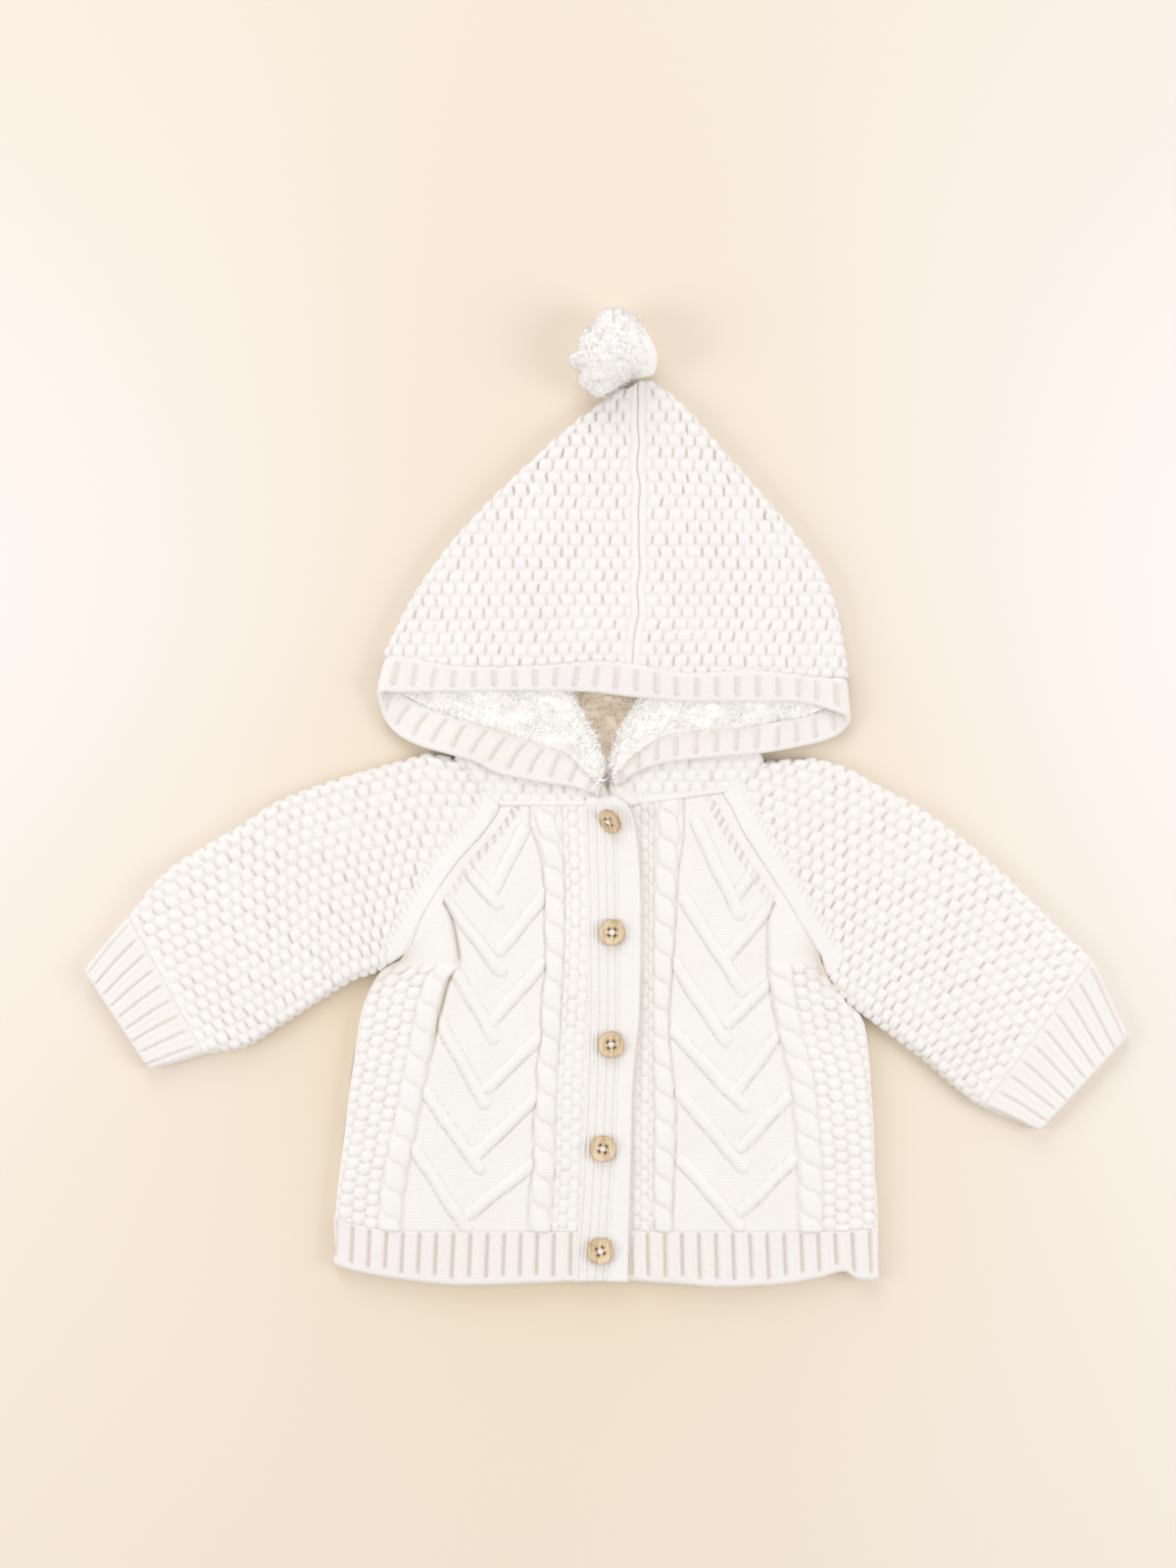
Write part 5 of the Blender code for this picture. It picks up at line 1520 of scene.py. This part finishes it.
# Hood band -----------------------------------------------------------------------------------
# One long strip of rib goes round the face opening. It turns over at the mouth's two corners,
# so its inside shows on the lower lips. Each sunk column stops short of the free edge.
LOWER_LIP_RIGHT = table(
    "sx sy sz fx fy fz",
    (-3.4, 7.8, 11, -5.4, 2.6, 11),
    (-10.6, 12.4, 11.2, -13.4, 4.6, 11.2),
    (-14, 17.2, 11.2, -19, 6.2, 11.2),
    (-21.9, 24.2, 11.2, -27, 7.4, 11.2),
    (-33, 28.6, 11.2, -43, 10, 11.2),
    (-47, 33.4, 11.2, -59.5, 13.2, 11.2),
    (-60, 37.5, 11.2, -72, 19.8, 11.2),
    (-75, 41.5, 11.2, -84, 23.4, 11.1),
    (-91, 46.5, 9.4, -102, 28.6, 8.8),
    (-103, 51, 7, -114, 34.5, 6.4),
    (-112, 56, 5.5, -121, 41.5, 5.2),
    (-118, 65, 5.2, -124, 49, 5.5),
    (-120.4, 75.6, 7.4, -124.7, 56, 7.8),
    (-117, 77, 10, -122, 58.6, 10.6),
)
LOWER_LIP_LEFT = table(
    "sx sy sz fx fy fz",
    (124, 64.8, 10.6, 125, 47.6, 10.8),
    (130, 65, 9.2, 131.6, 45.2, 9.2),
    (131.7, 61.6, 6.9, 133.2, 42, 7),
    (128.6, 54, 5.2, 130.4, 37.2, 5.3),
    (120, 47.4, 5.6, 122.6, 32.6, 5.6),
    (107, 43.6, 7.4, 108.6, 28.6, 7.2),
    (88, 40, 11.2, 87, 24.8, 11.2),
    (61, 37.6, 11.2, 60.8, 22.4, 11.2),
    (35, 34.6, 11.2, 34.8, 19.7, 11.2),
    (18, 25.4, 11.2, 18.6, 15, 11.2),
    (7, 15, 11.2, 8.6, 9, 11.2),
    (3.9, 12.2, 11, 5.2, 7.4, 11),
)
LIP_PITCH, LIP_SLOT, LIP_DEPTH = 11.1, 3.1, 1.1
LIP_SLOT_AT = 5.3  # a sunk column of the upper lip, that the others are counted from
LIP_SLOT_ENDS = (0.12, 0.84)  # where the sunk columns start and stop, from the seam to the free edge
LIP_BOW = 2.0  # how far the sunk columns bow on the right lower lip
LIP_TUCK = 1.3  # the strip's seam edge reaches so far in under its neighbours
STRIP_WIDTH, STRIP_STEP, LIP_STEP = 16, 0.8, 0.75
LIP_ROUND = np.linspace(0, math.pi, 9)[1:-1]
LIP_RIM = ((-0.4, 0.5), (-0.5, 1.5))
SEAM_SHOWS = 46  # how far along from its first end the strip's seam shows


def opening_line():
    """The strip's seam edge and free edge, as rows of two points once round the opening."""
    seam_z = hood_top(UPPER_LIP["sx"], UPPER_LIP["sy"]) - KNIT / 2
    lip = [UPPER_LIP["sx"], UPPER_LIP["sy"], seam_z, UPPER_LIP["fx"], UPPER_LIP["fy"]]
    lip = np.array(lip + [seam_z - UPPER_LIP["droop"]])
    first, last = (np.array(list(rows.values())) for rows in (LOWER_LIP_RIGHT, LOWER_LIP_LEFT))
    return np.concatenate([first, lip, last], 1).T


def strip_points(rows, width):
    """The strip's grid, round its two layers and folds, with its columns' shares and lift."""
    half = KNIT / 2
    inset = half / width
    flat = mix(inset, 1 - inset, steps(STRIP_WIDTH, STRIP_STEP))
    layer, rounded = np.ones(flat.shape[1]), inset * np.sin(LIP_ROUND)
    share = np.concatenate([flat, 1 - inset + rounded, flat[:, ::-1], inset - rounded, inset], 1)
    lift = np.concatenate([layer, np.cos(LIP_ROUND), -layer, -np.cos(LIP_ROUND), [1]])
    run = np.gradient((rows[:, :3] + rows[:, 3:]) / 2, axis=0)
    for _ in range(6):
        run[1:-1] = (run[:-2] + 2 * run[1:-1] + run[2:]) / 4
    facing = unit(np.cross(rows[:, 3:] - rows[:, :3], run))[:, None]
    flat_points = mix(rows[:, None, :3], rows[:, None, 3:], share[..., None])
    return flat_points + facing * (half * lift)[None, :, None], share, lift


line = opening_line()
centre = (line[:, :3] + line[:, 3:]) / 2
place = lengths_along(centre)
along = mix(0, place[-1], steps(place[-1], LIP_STEP))
rows = np.stack([curve(place, column, along) for column in line.T], -1)
rows[:, :3] = rows[:, :3] + unit(rows[:, :3] - rows[:, 3:]) * LIP_TUCK
width = np.linalg.norm(rows[:, 3:] - rows[:, :3], axis=-1)[:, None]
points, share, lift = strip_points(rows, width)
along = along[:, None] + 0 * share
corner = len(LOWER_LIP_RIGHT["sx"])
upper = slice(corner, -len(LOWER_LIP_LEFT["sx"]))
crossing = np.interp(LIP_SLOT_AT, centre[upper, 0], place[upper])
bow = LIP_BOW * np.sin(math.pi * share) * (along < place[corner - 2])
slot_place = (along - bow - crossing) / LIP_PITCH
off = (slot_place - np.round(slot_place)) * LIP_PITCH
slot_end = LIP_SLOT_ENDS[1] - 0.35 * (off / LIP_SLOT) ** 2
stitch = ribs(slot_place, LIP_PITCH, LIP_SLOT, LIP_DEPTH) * smooth((share - LIP_SLOT_ENDS[0]) / 0.05)
stitch = stitch * smooth((slot_end - share) / 0.07)
stitch = stitch + 0.3 * uneven(points[..., 0], points[..., 1], 40, 7) * both(1, 0)
# where the strip's seam shows it is sunk, with painted shade along it
seam_line = ridge(share * width - LIP_TUCK - 1.0, 0.5) * smooth((SEAM_SHOWS - along) / 12)
stitch = stitch + both(-0.5, 0.9) * seam_line * (lift > 0.99)
rims, weave = {"bottom": LIP_RIM, "top": LIP_RIM}, (share * width, along)
band = knit_mesh("hood_band_rib", points, stitch, weave, rims, RIB_KNIT, flip=True, ring=True)
lay(band, "hood_band", "knit", flat_area(points) / 2)

# Pompom --------------------------------------------------------------------------------------
# A wound ball of the coat's yarn, matted into lobes. It has been pressed flatter towards the
# hood, and one tuft has come out at its side.
POMPOM_AT, POMPOM_DEEP = (4.6, 243.6, 17.2), 17.0
TUFT_OUT = 0.9  # how far the tufts stand out past the lobes
POMPOM_ROUND = 23  # its reach straight up and down, before the outline takes over
# a faint glow of painted light on the pompom and the threads
WOOL_GLOW = 0.025
WISP_EVERY, WISP_LENGTH, WISP_WIDTH, WISP_CURL = 4, 2.5, 0.3, 0.8
POMPOM_REACH = table(
    "angle reach",
    (-180, 22.0),
    (-173, 26.4),
    (-164, 25.4),
    (-152, 22.6),
    (-139, 26.6),
    (-113, 26.8),
    (-97, 22.6),
    (-78, 18.6),
    (-60, 17.6),
    (-42, 21),
    (-26, 25.4),
    (-7, 24.6),
    (20, 22),
    (45, 21.6),
    (66, 23.6),
    (92, 25.6),
    (105, 25.2),
    (121, 21.8),
    (138, 20.2),
    (146, 21.8),
    (165, 21),
    (180, 22.0),
)
POMPOM_SLITS = table("x y end_x end_y", (3.6, 267, 4.2, 258), (11, 257, 8, 253), (-12, 246, -10, 239))


def lobes(spots, size, seed):
    """Height, from 0 to 1, of round lobes about that size over a ball."""
    best = np.full(len(spots), 9.0)
    cell = np.floor(spots / size)
    for i in (-1, 0, 1):
        for j in (-1, 0, 1):
            for k in (-1, 0, 1):
                near = cell + (i, j, k)
                number = near[:, 0] + 17 * near[:, 1] + 289 * near[:, 2]
                odd = np.stack([chance(number, seed + n) for n in (1, 2, 3)], -1)
                best = np.minimum(best, np.linalg.norm(spots - (near + odd) * size, axis=-1) / size)
    return 1 - smooth(best / 0.9)


def pompom_mesh():
    """The ball with its lobes and slits, each point's place in mm, and its place on a round ball."""
    bm = bmesh.new()
    bmesh.ops.create_icosphere(bm, subdivisions=6, radius=1)
    mesh = bpy.data.meshes.new("pompom_ball")
    bm.to_mesh(mesh)
    bm.free()
    ball = np.empty(len(mesh.vertices) * 3)
    mesh.vertices.foreach_get("co", ball)
    ball = ball.reshape(-1, 3)
    angle = np.degrees(np.arctan2(ball[:, 1], ball[:, 0]))
    low = np.hypot(ball[:, 0], ball[:, 1])
    spread = mix(POMPOM_ROUND, look(POMPOM_REACH, "angle", angle, "reach"), low**2) - TUFT_OUT
    spots = ball * np.stack([spread, spread, np.full(len(ball), POMPOM_DEEP)], -1)
    leftwards = smooth(0.5 - ball[:, 0])
    big, fine = lobes(spots, 8.5, 31), lobes(spots, 4.2, 47)
    height = (0.7 * big + 0.4 * fine - 0.8) * mix(0.5, 1.1, leftwards)
    x, y = (spots[:, :2] + POMPOM_AT[:2]).T
    slit = 0
    for start_x, start_y, end_x, end_y in zip(*POMPOM_SLITS.values()):
        path = {"x": [start_x, end_x], "y": [start_y, end_y]}
        slit = slit + ridge(path_distance(x, y, path)[0], 0.6) * (ball[:, 2] > 0)
    spots = spots + unit(ball) * (height - 1.3 * slit)[:, None] + POMPOM_AT
    spots[:, 2] = np.maximum(spots[:, 2], 0)
    mesh.vertices.foreach_set("co", (spots * MM).ravel())
    # painted shade between the lobes and in the slits, heavier on the left where the lobes are deeper
    painted_shade = np.clip(0.3 - 0.25 * big - 0.2 * fine + 0.5 * slit, 0, 1) * mix(0.5, 1, leftwards)
    mesh.attributes.new("depth", "FLOAT", "POINT").data.foreach_set("value", painted_shade)
    mesh.shade_smooth()
    return mesh, spots, ball


def wool_finish():
    """Loose matted wool without stitches: painted shade from the depth attribute, and a faint glow of
    painted light like the fleece's.
    """
    constants = {"Roughness": 0.95, "Sheen Weight": 0.3, "Sheen Roughness": 0.6, "Specular IOR Level": 0.2}
    constants |= {"Emission Color": (*YARN_WHITE, 1), "Emission Strength": WOOL_GLOW}
    made, start, shader = new_material("pompom_yarn", constants)
    fibres = start.noise(900.0, 4.0)
    tone = start.measured("depth") * 0.8 + fibres * 0.2 - 0.1
    feed(shader, "Base Color", tone.mixed(YARN_WHITE, YARN_PAINTED_SHADE))
    relief(shader, fibres, 0.6, 0.0007)
    return made


WOOL = wool_finish()
mesh, spots, ball = pompom_mesh()
attach(add_object("pompom_ball", mesh, WOOL), "knit", "pompom")
picked = np.arange(0, len(spots), WISP_EVERY)
picked = picked[(ball[picked, 2] > -0.35) & (ball[picked, 0] < 0.75)]
roots, ways = spots[picked] - ball[picked], unit(ball[picked] * 0.7 + stray(picked, 4) * 1.7)
tufts = strands("pompom_tufts", roots, ways, WISP_LENGTH, WISP_WIDTH, WISP_CURL, WOOL, 33)
attach(tufts, "knit")

# Buttons -------------------------------------------------------------------------------------
# Five turned wooden discs with a raised rim and four holes, sewn on with a cross of pale thread.
# The knit at the neck has tipped the first one over.
BUTTON_PLACES = table("x y", (1.9, -12.7), (3.2, -73.7), (2.7, -135.3), (-1.9, -192.5), (-3.2, -248.7))
BUTTON_THICK = 3.0
BUTTON_HOLE, BUTTON_HOLE_AT = 0.8, 2.0  # a hole's radius, and how far out it lies
BUTTON_RIM = 7.2  # the dark line's radius
THREAD, THREAD_APART = 0.3, 0.33  # a strand's radius, and how far it lies from the middle line
THREAD_LOW, THREAD_HIGH = -0.9, 1.55  # a strand's height in the holes and over the middle
BUTTON_TURNED = table(
    "radius height",
    (0, -1.5),
    (6.5, -1.5),
    (7.1, -1.15),
    (7.3, -0.4),
    (7.3, 0.5),
    (7.15, 1.1),
    (6.9, 1.4),
    (6.6, 1.45),
    (6.2, 1.45),
    (5.75, 1.2),
    (5.3, 0.98),
    (4.2, 0.92),
    (0, 0.9),
)
WOOD_PALE, WOOD_GRAIN, WOOD_DARK = (0.8, 0.65, 0.45), (0.55, 0.38, 0.2), (0.32, 0.21, 0.11)
BUTTON_TURNS = (0.12, -0.05, 0.1, -0.2, 0.3)  # how far each one is turned, in radians
FIRST_TILT, FIRST_RAISED = 50, 2.3  # degrees, and how far that lifts its middle
FIRST_AXIS = Vector((0.62, -1, 0)).normalized()


def wood_finish():
    """Pale turned wood: straight grain, a dark line round the rim, and painted shade in the holes."""
    made, start, shader = new_material("button_wood", {"Roughness": 0.5, "Specular IOR Level": 0.4})
    place = start.node("TexCoord", {}, {}, "Object")
    drawn_out = start.node("VectorMath", {"operation": "MULTIPLY"}, {0: place, 1: (1.0, 0.1, 1.0)})
    grain = start.noise(620.0, 3.0, drawn_out)
    lines = grain * 3.4 + start.noise(190.0, 1.0, drawn_out) * 2.0 - 2.4
    wood = lines.mixed(WOOD_PALE, WOOD_GRAIN)
    # darker along the rim line, and in the holes, where the shade is painted
    feed(shader, "Base Color", start.measured("rim_line_and_hole_shade").mixed(wood, WOOD_DARK))
    relief(shader, grain, 0.25, 0.0002)
    return made


def turned_disc():
    """The button's turned shape, with its four holes cut through it."""
    bm = bmesh.new()
    profile = [bm.verts.new((r, 0, h)) for r, h in zip(*BUTTON_TURNED.values())]
    edges = [bm.edges.new(pair) for pair in zip(profile, profile[1:])]
    spin = {"axis": (0, 0, 1), "cent": (0, 0, 0), "steps": 48, "angle": 2 * math.pi}
    bmesh.ops.spin(bm, geom=profile + edges, use_merge=True, **spin)
    bmesh.ops.remove_doubles(bm, verts=bm.verts[:], dist=0.001)
    bmesh.ops.recalc_face_normals(bm, faces=bm.faces[:])
    mesh = bpy.data.meshes.new("disc")
    bm.to_mesh(mesh)
    bm.free()
    holes = bmesh.new()
    for i in range(4):
        turn = Matrix.Rotation(math.pi / 4 + i * math.pi / 2, 4, "Z")
        spot = turn @ Matrix.Translation((BUTTON_HOLE_AT, 0, 0))
        size = {"radius1": BUTTON_HOLE, "radius2": BUTTON_HOLE, "depth": 3 * BUTTON_THICK}
        bmesh.ops.create_cone(holes, cap_ends=True, segments=16, matrix=spot, **size)
    cutter_mesh = bpy.data.meshes.new("holes")
    holes.to_mesh(cutter_mesh)
    holes.free()
    disc, cutter = bpy.data.objects.new("disc", mesh), bpy.data.objects.new("holes", cutter_mesh)
    for solid in (disc, cutter):
        bpy.context.scene.collection.objects.link(solid)
    cut = disc.modifiers.new("cut", "BOOLEAN")
    cut.operation, cut.object = "DIFFERENCE", cutter
    ready = disc.evaluated_get(bpy.context.evaluated_depsgraph_get())
    made = bpy.data.meshes.new_from_object(ready)
    for solid in (disc, cutter):
        bpy.data.objects.remove(solid)
    return made


def thread_points(turn, offset):
    """One strand of thread from a hole over the middle and down the opposite one."""
    share = np.linspace(-1, 1, 15)[:, None]
    angle = np.linspace(0, 2 * math.pi, 7)
    x = share * (BUTTON_HOLE_AT - 0.1) + THREAD * share**3 * np.sin(angle)
    y = offset + THREAD * np.cos(angle) + 0 * share
    z = mix(THREAD_LOW, THREAD_HIGH, (1 - share**4) ** 0.6) + THREAD * np.sin(angle)
    return np.stack([x * np.cos(turn) - y * np.sin(turn), x * np.sin(turn) + y * np.cos(turn), z], -1)


def dark_rim_and_holes(mesh):
    """How dark each point of the button is: a line round its rim, and painted shade in its holes."""
    spots = np.empty(len(mesh.vertices) * 3)
    mesh.vertices.foreach_get("co", spots)
    x, y = spots[0::3], spots[1::3]
    hole = np.hypot(np.abs(x) - BUTTON_HOLE_AT * 0.707, np.abs(y) - BUTTON_HOLE_AT * 0.707)
    # a dark line round the rim, and painted shade inside the holes
    return 0.6 * ridge(np.hypot(x, y) - BUTTON_RIM, 0.35) + 0.95 * (hole < BUTTON_HOLE + 0.02)


wood = wood_finish()
disc_mesh = turned_disc()
rim_line_and_hole_shade = dark_rim_and_holes(disc_mesh)
top = BAND_LIFT + KNIT + LIE + BUTTON_THICK / 2
for number, (x, y) in enumerate(zip(*BUTTON_PLACES.values()), 1):
    place = Matrix.Translation((x, y, top)) @ Matrix.Rotation(BUTTON_TURNS[number - 1], 4, "Z")
    if number == 1:
        tilt = Matrix.Rotation(math.radians(FIRST_TILT), 4, FIRST_AXIS)
        place = Matrix.Translation((0, 0, FIRST_RAISED)) @ place @ tilt
    mesh = disc_mesh.copy()
    mesh.materials.clear()
    mesh.attributes.new("rim_line_and_hole_shade", "FLOAT", "POINT").data.foreach_set("value", rim_line_and_hole_shade)
    mesh.transform(Matrix.Scale(MM, 4) @ place)
    mesh.shade_smooth()
    attach(add_object(f"button_{number}_disc", mesh, wood), "wood", f"button_{number}")
    for turn in (1, 3):
        for strand, offset in (("a", -THREAD_APART), ("b", THREAD_APART)):
            points = thread_points(turn * math.pi / 4, offset)
            points = points @ np.array(place.to_3x3()).T + np.array(place.translation)
            flat, around = np.zeros((2, *points.shape[:2])), widths(points)
            name = f"button_{number}_thread_{turn}_{strand}"
            rims = {"bottom": ((0, 0.3),), "top": ((0, 0.3),)}
            thread = knit_mesh(name, points, flat, (around, around), rims, WOOL, ring=True)
            attach(thread, "knit")
